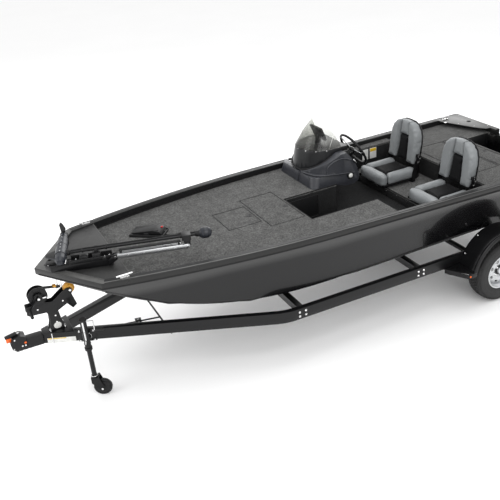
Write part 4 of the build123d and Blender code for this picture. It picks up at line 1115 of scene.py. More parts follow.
def arc_height(a, b, c, x):
    """Height at x of the arc through three points that bulges upwards."""
    (x1, y1), (x2, y2), (x3, y3) = a, b, c
    d = 2 * (x1 * (y2 - y3) + x2 * (y3 - y1) + x3 * (y1 - y2))
    s1, s2, s3 = x1 * x1 + y1 * y1, x2 * x2 + y2 * y2, x3 * x3 + y3 * y3
    cx = (s1 * (y2 - y3) + s2 * (y3 - y1) + s3 * (y1 - y2)) / d
    cy = (s1 * (x3 - x2) + s2 * (x1 - x3) + s3 * (x2 - x1)) / d
    r = math.hypot(x1 - cx, y1 - cy)
    return cy + math.sqrt(r * r - (x - cx) ** 2)


def half_beam(x):
    if x <= MID_X:
        middle = (MID_X / 2, (STERN_HALF + MID_HALF) / 2 + 3)
        return arc_height((0, STERN_HALF), middle, (MID_X, MID_HALF), x)
    if x <= CORNER_X:
        middle = ((MID_X + CORNER_X) / 2, (MID_HALF + CORNER_HALF) / 2 + 51)
        return arc_height((MID_X, MID_HALF), middle, (CORNER_X, CORNER_HALF), x)
    return CORNER_HALF * (HULL_LENGTH - x) / (HULL_LENGTH - CORNER_X)


def sheer(x):
    return arc_height((0, 1152), (HULL_LENGTH / 2, 1181), (HULL_LENGTH, 1200), x)


def sweep(name, path, section, look):
    """A section of (out, up) offsets carried along (point, outward) pairs, ends closed."""
    n, verts, faces = len(section), [], []
    for point, out in path:
        for a, b in section:
            verts.append(point + out * (a / 1000) + Vector((0, 0, b / 1000)))
    for i in range(len(path) - 1):
        for k in range(n):
            a, b = i * n + k, i * n + (k + 1) % n
            faces.append((a, b, b + n, a + n))
    faces += [tuple(range(n)), tuple(range((len(path) - 1) * n, len(path) * n))]
    obj = sharp(turned_out(mesh_object(name, verts, faces)), 40)
    assign(obj, look)
    return obj


def gunwale_path(inset, rise, x_from, x_to, side, step=120):
    """Points along the gunwale, moved in by inset, with the outward direction at each."""
    stations = [x_from]
    while stations[-1] + step < x_to:
        stations.append(stations[-1] + step)
    stations.append(x_to)
    if x_from < CORNER_X < x_to:
        stations = sorted(set(stations + [CORNER_X]))
    rows = []
    for x in stations:
        ahead = half_beam(min(x + 5, x_to)) - half_beam(max(x - 5, x_from))
        span = min(x + 5, x_to) - max(x - 5, x_from)
        out = Vector((-ahead / span, 1, 0)).normalized()
        base = at(x - inset * out.x, side * (half_beam(x) - inset * out.y), sheer(x) + rise)
        rows.append((base, Vector((out.x, side * out.y, 0))))
    return rows


RUB = [(-3, -5), (2.2, -5), (3.4, -2.5), (3.4, 2.5), (2.2, 5), (-3, 5)]
BEAD = [(-2, -2), (2, -2), (2.6, 0), (2, 1.6), (-2, 1.6), (-2.6, 0)]


def make_hull_trims():
    rails, liners = [], []
    for side in (1, -1):
        rails.append(sweep("rub_rail", gunwale_path(0, -50, 8, 5080, side), RUB, BLACK))
        band = [(-17, -1), (17, -1), (17, 1.4), (-17, 1.4)]
        rails.append(sweep("rim_groove", gunwale_path(42, 0.2, 350, 4700, side), band, BLACK))
        rails.append(sweep("rim_edge", gunwale_path(3, 0.4, 20, 4700, side), BEAD, BLACK))
        # A light grey bead along the bow's edge: a painted highlight line.
        rails.append(sweep("bow_edge", gunwale_path(57, 0.6, 4730, 5040, side), BEAD, RIM))
        # A black strip just under the gunwale's inner edge, down to the deck: painted shade in the gap
        # under the overhang.
        liner = [(-1, -52), (1, -52), (1, -3), (-1, -3)]
        liners.append(sweep("gunwale_liner", gunwale_path(63, 0, 360, 4480, side), liner, BLACK))
        for rise in (-14, -26, -38):
            liners.append(sweep("louvre", gunwale_path(65, rise, 1650, 4300, side), BEAD, BLACK))
    piece("rub_rails", rails, ROOT)
    piece("gunwale_liners", liners, ROOT)
    keels = []
    chine = [(0, 757, 700), (1300, 749, 694), (2600, 725, 684), (3600, 652, 712), (4250, 557, 872),
             (4700, 500, 1104)]
    rail = [(-6, -3), (9, -7), (11, -4), (4, 9), (-6, 9)]
    for side in (1, -1):
        rows = [(at(x, side * y, z), Vector((0, side, 0))) for x, y, z in chine]
        keels.append(sweep("spray_rail", rows, rail, HULL))
        for share in (0.36, 0.68):
            path = []
            for (x, y, z), keel in zip(chine[:4], (592, 590, 590, 596)):
                path.append((at(x, side * y * share, keel + (z - keel) * share - 2), Vector((0, side, 0))))
            keels.append(sweep("strake", path, rail, HULL))
    piece("hull_strakes", keels, ROOT)
    low, high = (PANEL_X - 3, -548, PANEL_Z - 1), (PANEL_X + 2, 548, PANEL_Z + 1.5)
    trim = [brick("panel_trim", low, high, 0.6, RIM),
            brick("splash_trim", (440, -336, REAR_DECK_Z - 2), (449, 336, REAR_DECK_Z + 4), 1.2, RIM)]
    for y in (-1, 1):
        low, high = (92, y * 330, REAR_DECK_Z - 2), (444, y * 340, REAR_DECK_Z + 4)
        trim.append(brick("splash_side", low, high, 1.2, RIM))
    piece("deck_trims", trim, ROOT)
    edge = []
    corners = [(1612, -735), (2250, -735), (2250, -102), (2827, -102), (2827, 401), (2135, 401),
               (2135, 735), (1612, 735)]
    for (x0, y0), (x1, y1) in zip(corners, corners[1:]):
        edge.append(bar("edge_trim", (x0, y0, DECK_Z - 1.5), (x1, y1, DECK_Z - 1.5), 4.5, LINER, sides=12))
    edge.append(bar("platform_trim", (1612, -730, 899), (1612, 730, 899), 4.5, LINER, sides=12))
    piece("edge_trims", edge, ROOT)


make_hull_trims()


def make_lid_fittings():
    """Latches with a lift tab in a dark cup, and a piano hinge on each lid's forward edge."""
    for name, aft, fore, half, top in (
        ("fore", 3204, 3520, 182, DECK_Z), ("middle", 2845, 3185, 318, DECK_Z),
        ("rear", 678, 1050, 430, REAR_DECK_Z), ("aft", 462, 664, 430, REAR_DECK_Z),
    ):
        node, body = f"hatch_lid_{name}", f"{name}_hatch"
        x, y = aft + 42, half * 0.1
        cup_profile = [(0, 0.6), (19, 0.6), (20.5, 1), (23.5, 2.2), (25.5, 0)]
        latch = [lathe("latch_cup", scaled(cup_profile), at(x, y, top), UP, 40, BLACK),
                 brick("latch_tab", (x - 9, y - 6, top - 0.5), (x + 9, y + 6, top + 2.4), 0.8, BLACK),
                 ring("latch_ring", at(x, y, top + 0.5), UP, 21, 2.0, BLACK, 32, 8)]
        piece(f"{node}_latch", latch, body)
        near, far, side = aft + 2, fore - 8, half - 2
        corners = [(near, -side), (far, -side), (far, side), (near, side)]
        welt = [bar("welt", (x0, y0, top + 0.4), (x1, y1, top + 0.4), 2.6, BLACK, sides=8)
                for (x0, y0), (x1, y1) in zip(corners, corners[1:] + corners[:1])]
        piece(f"{node}_welt", welt, body)
        knuckles = []
        count = int(half * 2 / 60)
        pitch = (2 * half - 24) / count
        for k in range(count):
            y = -half + 12 + k * pitch
            low, high = (fore - 3.5, y, top - 1), (fore - 3.5, y + pitch - 3, top - 1)
            knuckles.append(bar("knuckle", low, high, 2.4, STEEL_BLACK, sides=10))
        piece(f"{node}_hinge", knuckles, ROOT)


make_lid_fittings()

# Console fittings

DASH_OUT = Vector((-0.853, 0, 0.523)).normalized()
PANEL_OUT = Vector((-0.945, 0, 0.327)).normalized()
DISPLAY_OUT = Vector((-0.932, 0, 0.36)).normalized()


def dash(a, b, c, centre=(2031, -400, 1303), out=DASH_OUT):
    """On a sloped panel: a to port, b up the slope, c out of it."""
    up = out.cross(Vector((0, 1, 0)))
    return at(*centre) + (Vector((0, 1, 0)) * a + up * b + out * c) / 1000


def on_switches(a, b, c):
    """On the lower panel, where the rocker switches are: a to port, b up, c out."""
    return dash(a + 400, b, c, (1990, -400, 1212), PANEL_OUT)


def on_display(a, b, c):
    """On the face of the display: a to port, b up, c out."""
    return dash(a - 65, b, c, (2200, -400, 1541), DISPLAY_OUT)


def make_console_fittings():
    parts = []
    for y, r in ((-190, 27), (-110, 22), (-250, 27), (-560, 22), (-620, 22)):
        centre = dash(y + 400, 0, 1)
        bezel = [(r - 4, 1.5), (r - 2, 5), (r, 4.5), (r + 0.5, 0)]
        face = [(0, 1.6), (r - 3, 1.6), (r - 3, 0)]
        needle = [(-0.7, -2), (0.7, -2), (0.4, r - 8), (-0.4, r - 8)]
        parts.append(lathe("gauge_bezel", scaled(bezel), centre, DASH_OUT, 40, BRIGHT))
        parts.append(lathe("gauge_face", scaled(face), centre, DASH_OUT, 40, SCREEN))
        parts.append(plate("needle", needle, lambda a, b, d, y=y: dash(y + 400 + a, b, 2.8 + d * 1000),
                           0.0004, look=ORANGE))
    for k in range(6):
        y = -250 + k * 26
        parts.append(brick("rocker", (y - 9, -14, 0.5), (y + 9, 14, 6), 1.4, BLACK, on_switches))
        parts.append(brick("rocker_lamp", (y - 2, 6, 5.8), (y + 2, 9, 6.6), 0.3, ORANGE, on_switches))
    parts.append(brick("switch_panel", (-268, -20, -0.5), (-102, 20, 1.2), 1.0, BLACK, on_switches))
    piece("dash_fittings", parts, ROOT)
    centre = at(2084, -105, 1174)
    out = Vector((0, 1, 0.08)).normalized()
    collar_profile = [(23, 2), (26, 10), (34, 9), (37, 0), (23, -4)]
    collar = lathe("port_ring", scaled(collar_profile), centre, out, 48, BLACK)
    dome = lathe("port_cap", scaled([(23.5, 1), (22.5, 8.5), (15, 12), (0, 13)]), centre, out, 48, WHITE)
    piece("console_port_cap", [collar, dome], ROOT)
    cup_place = at(2397, -697, 1229)
    cup = ring("cup_ring", cup_place, UP, 38, 3.4, BRIGHT)
    well = lathe("cup_liner", scaled([(36, 0), (35, -4), (31, -82), (0, -84)]), cup_place, UP, 40, BLACK)
    piece("cup_holder", [cup, well], ROOT)
    arc = [(2075, -106, 1330), (2149, -107, 1366), (2235, -112, 1362), (2310, -118, 1330),
           (2336, -124, 1285),
           (2342, -128, 1240)]
    ledge = [(2040, -104, 1196), (2170, -102, 1214), (2330, -106, 1232), (2420, -134, 1238),
             (2470, -220, 1240),
             (2498, -330, 1240)]
    nose = [(2499, -372, 1240), (2512, -374, 1200), (2516, -374, 1134)]
    ribs = [tube(name, [at(*point) for point in points], radius) for name, points, radius in
            (("console_arc", arc, 0.006), ("console_ledge", ledge, 0.007), ("console_nose", nose, 0.005))]
    # A black tube round the foot of the visor: painted shade in the slot between the visor and the console.
    gap = []
    for k in range(25):
        y = -450 + 244 * math.sin(math.radians(-98 + 8.2 * k))
        x = 2262 + 232 * math.cos(math.radians(-98 + 8.2 * k))
        gap.append(at(x, y, max(1248, 1244 + (2490 - x) * 154 / 310)))
    slot = tube("visor_slot", gap, 0.007)
    piece("console_ribs", ribs, ROOT, CONSOLE)
    piece("visor_slot", slot, ROOT, BLACK)
    # A thin white rod down the windshield's fold: a painted reflection of the folded glass edge.
    stay = tube("screen_fold", [at(2158, -262, 1572), at(2200, -241, 1512), at(2240, -225, 1446)], 0.0016)
    piece("windshield_fold", stay, ROOT, WHITE)
    screws = []
    for a in (-78, -52, -26, 0, 26, 52, 78):
        c, sn = math.cos(math.radians(a)), math.sin(math.radians(a))
        screws.append((at(2222 + 230 * c, -450 + 231 * sn, 1428), Vector((c, sn, 0.05))))
    piece("windshield_screws", studs("windshield_screws", SCREW, screws, BRIGHT, 1.4), ROOT)
    keys = [brick("display_glass", (-86, -58, 0), (86, 58, 1.6), 0.6, SCREEN, on_display)]
    for b in range(-44, 56, 20):
        keys.append(brick("display_key", (78, b, 1.5), (84, b + 10, 3.0), 0.4, WHITE, on_display))
    piece("display_screen", keys, ROOT)
    labels = []
    for x0, x1 in ((1322, 1408), (1430, 1504)):
        labels.append(brick("label", (x0, -733.4, 984), (x1, -731.6, 1102), 0.4, WHITE))
    labels.append(brick("label_band", (1326, -732, 1062), (1404, -730.8, 1098), 0.3, LABEL_YELLOW))
    piece("side_labels", labels, ROOT)


make_console_fittings()

# Trolling motor at the bow

SHAFT_Z, SHAFT_END, POD_TAIL = 1320, 1060, 288
PEDAL_X, PEDAL_Y, PEDAL_TURN = 4108, -178, math.radians(140)


def make_bow_fittings():
    mount = []
    for v in (-63, 23):
        mount.append(bar("channel_edge", (-92, v, 1246), (378, v, 1246), 3.2, BLACK, bow, 12))
        mount.append(brick("channel_wall", (60, v - 3, 1244), (372, v + 3, 1276), 2, BLACK, bow))
    for name, low, high, edge in (
        ("mount_cover", (-128, -34, 1240), (-50, 24, 1256), 4),
        ("cradle", (228, -58, 1246), (292, 20, 1300), 5),
        ("cradle_jaw", (246, 16, 1290), (276, 24, 1334), 3),
        ("cradle_jaw", (246, -28, 1290), (276, -20, 1334), 3),
        ("slide_block", (130, -56, 1246), (196, 18, 1286), 4),
        ("strap_buckle", (142, -60, 1286), (184, 22, 1292), 2),
    ):
        mount.append(brick(name, low, high, edge, BLACK, bow))
    mount.append(bar("release_knob", (318, -64, 1262), (318, -92, 1262), 15, BLACK, bow, 24))
    mount.append(bar("release_stem", (318, -40, 1262), (318, -66, 1262), 6, BRIGHT, bow, 16))
    for s0 in (-108, 96, 350):
        for v in (-30, 12):
            mount.append(studs("mount_bolt", BOLT, [(bow(s0, v, 1246), UP)], BRIGHT, 0.9))
    for s0 in (-24, 24):
        mount.append(bar("cradle_pin", (s0, -62, 1262), (s0, 22, 1262), 5, BRIGHT, bow, 14))
    piece("mount_fittings", mount, ROOT)
    arm = [brick("arm_face", (392, -90, 1247), (966, -83.5, 1285), 2.5, SILVER, bow),
           bar("upper_tube", (430, -30, 1292), (905, -30, 1292), 11, BLACK, bow, 24),
           brick("upper_slot", (640, -43, 1288), (880, -40, 1296), 0.8, STEEL_BLACK, bow)]
    for s0 in (436, 884):
        arm.append(brick("tube_bracket", (s0, -62, 1270), (s0 + 16, -20, 1300), 2, BLACK, bow))
    for s0 in (400, 960):
        arm.append(bar("pivot_head", (s0, -96, 1266), (s0, -88, 1266), 10, BRIGHT, bow, 6))
    for s0 in (500, 620, 740, 860):
        arm.append(bar("rivet", (s0, -93, 1266), (s0, -88, 1266), 4, BRIGHT, bow, 12))
    piece("arm_fittings", arm, "trolling_arm_body")
    motor = []
    along, across = direction(bow, 1, 0, 0), direction(bow, 0, 1, 0)
    for v, r, t in ((-62, 45.3, 1.2), (90, 45.2, 1.4), (232, 38.2, 1.4)):
        motor.append(ring("pod_seam", bow(0, v, SHAFT_Z), across, r, t, BLACK))
    motor.append(bar("pod_neck", (38, 0, SHAFT_Z), (66, 0, SHAFT_Z), 24, BLACK, bow, 32))
    for s0 in (150, 330, 905, 1030):
        motor.append(bar("shaft_collar", (s0, 0, SHAFT_Z), (s0 + 16, 0, SHAFT_Z), 19, BLACK, bow, 32))
    motor.append(bar("collar_knob", (338, 14, SHAFT_Z), (338, 40, SHAFT_Z), 9, BLACK, bow, 12))
    lead = [bow(60, -8, SHAFT_Z + 16)]
    lead += [bow(s0, -4 + 3 * ((s0 // 100) % 2), SHAFT_Z + 18) for s0 in range(160, 1000, 100)]
    lead.append(bow(1052, 0, SHAFT_Z + 20))
    motor.append(tube("shaft_lead", lead, 0.004, BLACK))
    for s0 in range(200, 900, 175):
        motor.append(ring("tie", bow(s0, 0, SHAFT_Z + 3), along, 18, 1.1, BLACK, 32, 6))
    for d, r in ((14, 41), (40, 46.4), (70, 44.4)):
        motor.append(ring("head_seam", bow(SHAFT_END + d, 0, SHAFT_Z), along, r, 1.3, BLACK))
    collar_profile = [(14.6, -34), (21, -32), (24, -6), (28, 2)]
    lens_profile = [(16, 0), (14, 2), (0, 3)]
    motor.append(lathe("head_collar", scaled(collar_profile), bow(SHAFT_END, 0, SHAFT_Z), along, 36, BLACK))
    motor.append(lathe("head_lens", scaled(lens_profile), bow(SHAFT_END + 98, 0, SHAFT_Z),
                       along, 32, SCREEN))
    for v in (-40, 20, 70, 140, 200):
        screw_rows = [(bow(0, v, SHAFT_Z + (44.5 if v < 100 else 41)), UP)]
        motor.append(studs("pod_screw", SCREW, screw_rows, BRIGHT))
    fin = [(-36, -90), (-112, -40), (-117, 0), (-104, 18), (-36, 56)]
    motor.append(plate("fin_face", fin, lambda a, b, d: bow(a, b, SHAFT_Z - 5 + d * 1000),
                       0.010, 0.002, 2, BLACK))
    piece("motor_fittings", motor, "trolling_motor")
    nut_profile = [(12, 0), (12, 10), (7, 14), (0, 15)]
    nut = lathe("screw_nut", scaled(nut_profile), bow(0, POD_TAIL + 81, SHAFT_Z), across, 6)
    piece("screw_nut", nut, "trolling_screw", BRIGHT)
    pedal = []
    c, sn = math.cos(PEDAL_TURN), math.sin(PEDAL_TURN)

    def place(x, y, z):
        return at(PEDAL_X + x * c - y * sn, PEDAL_Y + x * sn + y * c, DECK_Z + z)

    for x in range(-96, 66, 18):
        z = 26 + 0.19 * (x + 100)
        pedal.append(bar("pedal_rib", (x, -52, z), (x, 52, z), 3, BLACK, place, 10))
    pedal.append(bar("pedal_button", (112, 28, 52), (112, 28, 60), 11, RED, place, 24))
    pedal.append(bar("pedal_dial", (88, -40, 52), (88, -40, 60), 14, BLACK, place, 24))
    pedal.append(brick("pedal_rail_a", (-148, -79, 14), (148, -68, 24), 3, BLACK, place))
    pedal.append(brick("pedal_rail_b", (-148, 68, 14), (148, 79, 24), 3, BLACK, place))
    run = [place(150, -20, 8), place(200, -30, 5), place(260, 10, 5), place(330, 70, 5)]
    pedal.append(tube("pedal_lead", run, 0.005, BLACK))
    piece("pedal_fittings", pedal, ROOT)


make_bow_fittings()

# Winch, coupler and jack

WINCH_X, WINCH_Z, STAND_X, ROLLER_X, ROLLER_Z = 5126, 962, 5040, 4880, 950
CASTER = (-52, 50, 76)


def rail_top(x):
    return RAIL_TOP + (x - AXLE_X) * math.tan(PITCH)


def make_winch_fittings():
    x, z = WINCH_X, WINCH_Z
    winch = []
    for side in (-1, 1):
        y = side * 27
        for r, t in ((74, 2.2), (40, 1.4)):
            winch.append(ring("flange_bead", at(x, y, z), (0, 1, 0), r, t, STEEL_BLACK))
        for c, sn in around(6):
            a, b = x + 55 * c, z + 55 * sn
            winch.append(bar("flange_hole", (a, y - 1.6, b), (a, y + 1.6, b), 8, BLACK, sides=16))
    for k in range(18):
        a = 2 * math.pi * k / 18
        winch.append(bar("ratchet_tooth", (x + 30 * math.cos(a), 44, z + 30 * math.sin(a)),
                         (x + 38 * math.cos(a + 0.1), 44, z + 38 * math.sin(a + 0.1)),
                         3.4, STEEL_BLACK, sides=8))
    winch.append(bar("ratchet", (x, 40.6, z), (x, 47, z), 31, STEEL_BLACK, sides=36))
    winch.append(brick("pawl", (x - 62, 40, z - 20), (x - 30, 46, z - 8), 1.5, BRIGHT))
    winch.append(bar("axle_nut", (x, 66, z), (x, 76, z), 12, BRIGHT, sides=6))
    for y0 in (-38, 32):
        for x0 in (x - 30, x + 46):
            y = y0 - math.copysign(4, y0)
            winch.append(bar("frame_bolt", (x0, y, 899), (x0, y, 907), 8, BRIGHT, sides=6))
    for k in range(7):
        y = 78 + k * 11
        winch.append(ring("grip_ridge", at(x + 84, y, z - 100), (0, 1, 0), 11.2, 1.5, BLACK, 28, 6))
    piece("winch_fittings", winch, ROOT)
    strap = []
    for y in (-14, 14):
        strap.append(brick("strap_edge", (4972, y - 1, 990), (4998, y + 1, 1010), 0.5, AMBER))
    piece("strap_stitch", strap, ROOT)


def make_stand_fittings():
    base = rail_top(STAND_X) + 4
    stand = []
    for x0 in (4976, 5094):
        for y in (-36, 36):
            stand.append(bar("base_bolt", (x0, y, base + 10), (x0, y, base + 26), 5, BRIGHT, sides=12))
            stand.append(bar("base_nut", (x0, y, base + 10), (x0, y, base + 18), 10, BRIGHT, sides=6))
            top, foot = (x0, y * 1.42, base + 12), (x0, y * 1.42, base - 112)
            stand.append(bar("u_bolt_leg", top, foot, 5, BRIGHT, sides=12))
        stand.append(bar("u_bolt_low", (x0, -51, base - 112), (x0, 51, base - 112), 5, BRIGHT, sides=12))
    for x0, z0 in ((5030, 700), (5030, 760), (5150, 858), (5200, 858), (4950, 870), (4880, 950)):
        for side in (-1, 1):
            stand.append(bar("stand_bolt", (x0, side * 35, z0), (x0, side * 43, z0), 8, BRIGHT, sides=6))
    disc = bar("round_label", (5030, 35.5, 664), (5030, 37.5, 664), 30, WHITE, sides=40)
    tag = bar("label_rim", (5030, 35, 664), (5030, 36.8, 664), 33, BLACK, sides=40)
    piece("stand_fittings", stand + [disc, tag], ROOT)
    x, z = ROLLER_X, ROLLER_Z
    roller = [ring("roller_lip", at(x, side * 15, z), (0, 1, 0), 43, 2.4, AMBER) for side in (-1, 1)]
    for side in (-1, 1):
        roller.append(bar("roller_bolt", (x, side * 44, z), (x, side * 54, z), 12, BRIGHT, sides=6))
    piece("roller_fittings", roller, ROOT)


def make_coupler_fittings():
    coupler = [
        bar("latch_pivot", (5376, -52, 545), (5376, 52, 545), 7, BRIGHT, tilted, 20),
        ring("socket_ring", tilted(5352, 0, 428), (0, 0, 1), 40, 5, BRIGHT),
        bar("adjust_nut", (5338, 0, 562), (5338, 0, 578), 13, BRIGHT, tilted, 6),
        bar("marker", (5300, 49, 500), (5300, 53, 500), 9, ORANGE, tilted, 24),
        brick("lever_label", (5398, 17, 520), (5436, 20, 556), 0.8, ORANGE, tilted),
        bar("clip_pin", (5392, -50, 470), (5392, 56, 470), 5, BRIGHT, tilted, 14),
    ]
    wire = [(5392, 60, 470), (5404, 64, 448), (5400, 64, 424), (5388, 62, 426), (5388, 60, 462)]
    clip = tube("clip", [tilted(*point) for point in wire], 0.0018, BRIGHT)
    for x in (5302, 5326):
        for y in (-49, 49):
            end = y + math.copysign(7, y)
            coupler.append(bar("neck_bolt", (x, y, 478), (x, end, 478), 8, BRIGHT, tilted, 6))
    piece("coupler_fittings", coupler + [clip], ROOT)

    def on_rail(a, b, z):
        return jack(a, b, z + a * 0.024)

    tag = brick("rail_label", (96, 0.5, 514), (322, 2.4, 562), 0.3, WHITE, on_rail)
    band = brick("rail_label_band", (170, 2.0, 552), (318, 3.2, 560), 0.3, LABEL_YELLOW, on_rail)
    piece("rail_labels", [tag, band], ROOT)


def make_jack_fittings():
    across = direction(jack, 0, 1, 0)
    leg = [
        brick("chrome_strip", (-6, 75, 560), (6, 77.5, 735), 0.6, BRIGHT, jack),
        bar("crank_shaft", (0, 50, 728), (-78, 50, 728), 6, BRIGHT, jack),
        bar("crank_arm", (-78, 50, 728), (-78, 50, 640), 5.5, BRIGHT, jack),
        bar("crank_grip", (-84, 50, 644), (-152, 50, 644), 11, BLACK, jack),
        bar("top_cap", (0, 50, 741), (0, 50, 751), 30, BLACK, jack, 32),
        bar("pull_pin", (0, 76, 560), (0, 96, 560), 6, BRIGHT, jack, 16),
        ring("pull_ring", jack(0, 100, 552), direction(jack, 1, 0, 0), 12, 1.8, BRIGHT, 32, 8),
    ]
    for z0 in (486, 520, 640):
        leg.append(ring("leg_band", jack(0, 50, z0), UP, 26.8, 1.8, STEEL_BLACK))
    piece("jack_leg_fittings", leg, "jack_outer")
    bracket = []
    for a in (-56, 56):
        for z0 in (524, 616):
            bracket.append(bar("bracket_nut", (a, 8, z0), (a, 18, z0), 9, BRIGHT, jack, 6))
            bracket.append(bar("bracket_stud", (a, 10, z0), (a, 26, z0), 5, BRIGHT, jack, 12))
    bracket.append(ring("swivel_ring", jack(0, 13, 560), across, 33, 3, BRIGHT))
    for c, sn in around(8):
        a, z = 28 * c, 560 + 28 * sn
        bracket.append(bar("lock_hole", (a, 17, z), (a, 20.2, z), 4, BLACK, jack, 12))
    piece("jack_bracket_fittings", bracket, ROOT)
    wheel = []
    x, middle, z = CASTER
    face = [(8, 20.5), (26, 20.5), (30, 17.5), (50, 15), (60, 18.5), (64, 18.5)]
    for side in (-1, 1):
        wheel.append(lathe("caster_face", scaled(face), jack(*CASTER), across * side, 48, BLACK))
    for c, sn in around(6):
        for b in (middle - 17.5, middle + 17.5):
            near, far = (x + 30 * c, b, z + 30 * sn), (x + 52 * c, b, z + 52 * sn)
            wheel.append(bar("caster_rib", near, far, 2.6, BLACK, jack, 8))
    piece("jack_wheel_fittings", wheel, "jack_roller")
    fork = [bar("axle_nut", (x, middle + 36 * side, z), (x, middle + 45 * side, z), 10, BRIGHT, jack, 6)
            for side in (-1, 1)]
    fork.append(ring("fork_race", jack(0, 50, 199), UP, 25, 4, BRIGHT))
    piece("jack_fork_fittings", fork, "jack_inner")


make_winch_fittings()
make_stand_fittings()
make_coupler_fittings()
make_jack_fittings()

# Liners, labels and rods that have no solid of their own

PASSAGE_STBD, PASSAGE_PORT, WELL_HALF, FLOOR_TOP = -102, 401, 735, 803


def wall(x0, x1, y0, y1, z0, z1, look=None):
    return brick("liner", (x0, y0, z0), (x1, y1, z1), 0.6, look or LINER, segments=1)


def make_liners():
    top, t = 1104, 1.8
    walls = [
        wall(2252, 2825, PASSAGE_STBD, PASSAGE_STBD + t, FLOOR_TOP, top),
        wall(2137, 2825, PASSAGE_PORT - t, PASSAGE_PORT, FLOOR_TOP, top),
        wall(2827 - t, 2827, -100, 399, FLOOR_TOP, 878), wall(2827 - t, 2827, -100, 399, 1052, top),
        wall(2827 - t, 2827, -100, -62, 878, 1052), wall(2827 - t, 2827, 302, 399, 878, 1052),
        wall(2135 - t, 2135, 403, 733, FLOOR_TOP, top), wall(2250 - t, 2250, -733, -104, FLOOR_TOP, 1078),
        wall(1112, 1112 + t, -733, 733, 902, 1078), wall(1612, 1612 + t, -733, 733, FLOOR_TOP, 878),
    ]
    for side in (-1, 1):
        walls.append(wall(1114, 1612, side * (WELL_HALF - t), side * WELL_HALF, 902, top))
        walls.append(wall(1614, 2133, side * (WELL_HALF - t), side * WELL_HALF, FLOOR_TOP, top))
    y = PASSAGE_STBD
    # A black sheet in the side hatch's opening: painted shade for the dark compartment behind, inside a
    # black frame.
    frame_parts = [brick("hatch_recess", (2470, y + 1.6, 868), (2800, y + 3.2, 1066), 0.8, BLACK)]
    corners = [(2462, 860), (2808, 860), (2808, 1074), (2462, 1074)]
    for (xa, za), (xb, zb) in zip(corners, corners[1:] + corners[:1]):
        frame_parts.append(bar("hatch_frame", (xa, y + 3, za), (xb, y + 3, zb), 4, BLACK, sides=12))
    for side in (1, -1):
        walls.append(wall(92, 438, side * (330 - t), side * 330, 922, 1098, BLACK))
    walls.append(wall(440 - t, 440, -328, 328, 922, 1078, BLACK))
    walls.append(wall(92, 438, -328, 328, 920, 922, BLACK))
    piece("well_liners", walls, ROOT)
    piece("side_recess", frame_parts, ROOT)
    rows = []
    for x in range(2300, 2800, 120):
        rows.append((at(x, PASSAGE_PORT - 2, 1090), (0, -1, 0)))
    for y in range(-640, 700, 160):
        rows.append((at(1614, y, 868), (1, 0, 0)))
    piece("liner_screws", studs("liner_screws", SCREW, rows, BRIGHT), ROOT)


make_liners()


def make_seat_hinges():
    """Arms that carry each back, their pivots and stops, and the pan's bolts and side plates."""
    c, sn = math.cos(math.radians(8)), math.sin(math.radians(8))
    for seat, hinge_x, middle in SEATS:
        def leaned(x, y, z):
            return at(hinge_x + x * c - z * sn, middle + y, HINGE_Z + z * c + x * sn)
        arms = []
        for side in (-1, 1):
            outline = [(-16, -22), (16, -22), (24, -10), (28, 60), (20, 92), (-20, 92), (-28, 60),
                       (-24, -10)]
            arm = plate("arm", outline, lambda a, b, d: leaned(a, side * (227 + d * 1000), b),
                        0.005, 0.0012, 2)
            spacer = brick("spacer", (-22, side * 206, 52), (22, side * 228, 84), 2, None, leaned)
            for part in (arm, spacer):
                assign(part, STEEL_BLACK)
            arms += [arm, spacer, bar("pivot", (0, side * 231, 0), (0, side * 240, 0),
                                      10, BRIGHT, leaned, 6)]
            for z in (60, 80):
                arms.append(bar("arm_bolt", (0, side * 231, z), (0, side * 236, z), 6, BRIGHT, leaned, 6))
            arms.append(brick("stop", (-27, side * 232, 8), (-12, side * 235, 44), 1.2, BRIGHT, leaned))
        piece(f"{seat}_back_arms", arms, f"{seat}_seat_back", None, [f"seat_back_{seat}"])
        fixed = []
        for side in (-1, 1):
            for x in (60, 150, 250):
                x0, y0 = hinge_x + x, middle + side * 140
                fixed.append(bar("pan_bolt", (x0, y0, 901), (x0, y0, 908), 8, BRIGHT, sides=6))
            low, high = (hinge_x + 36, middle + side * 205, 926), (hinge_x + 410, middle + side * 213, 950)
            fixed.append(brick("pan_side", low, high, 2, STEEL_BLACK))
        piece(f"{seat}_pan_fittings", fixed, ROOT)


make_seat_hinges()


def rounded_loop(x0, x1, half, corner, z, steps=10):
    """(point, outward) pairs round a rounded rectangle in plan."""
    rows = []
    for cx, cy, start in ((x1 - corner, half - corner, 0), (x0 + corner, half - corner, 90),
                          (x0 + corner, corner - half, 180), (x1 - corner, corner - half, 270)):
        for k in range(steps + 1):
            a = math.radians(start + 90 * k / steps)
            out = Vector((math.cos(a), math.sin(a), 0))
            rows.append((at(cx + corner * out.x, cy + corner * out.y, z), out))
    return rows + rows[:1]


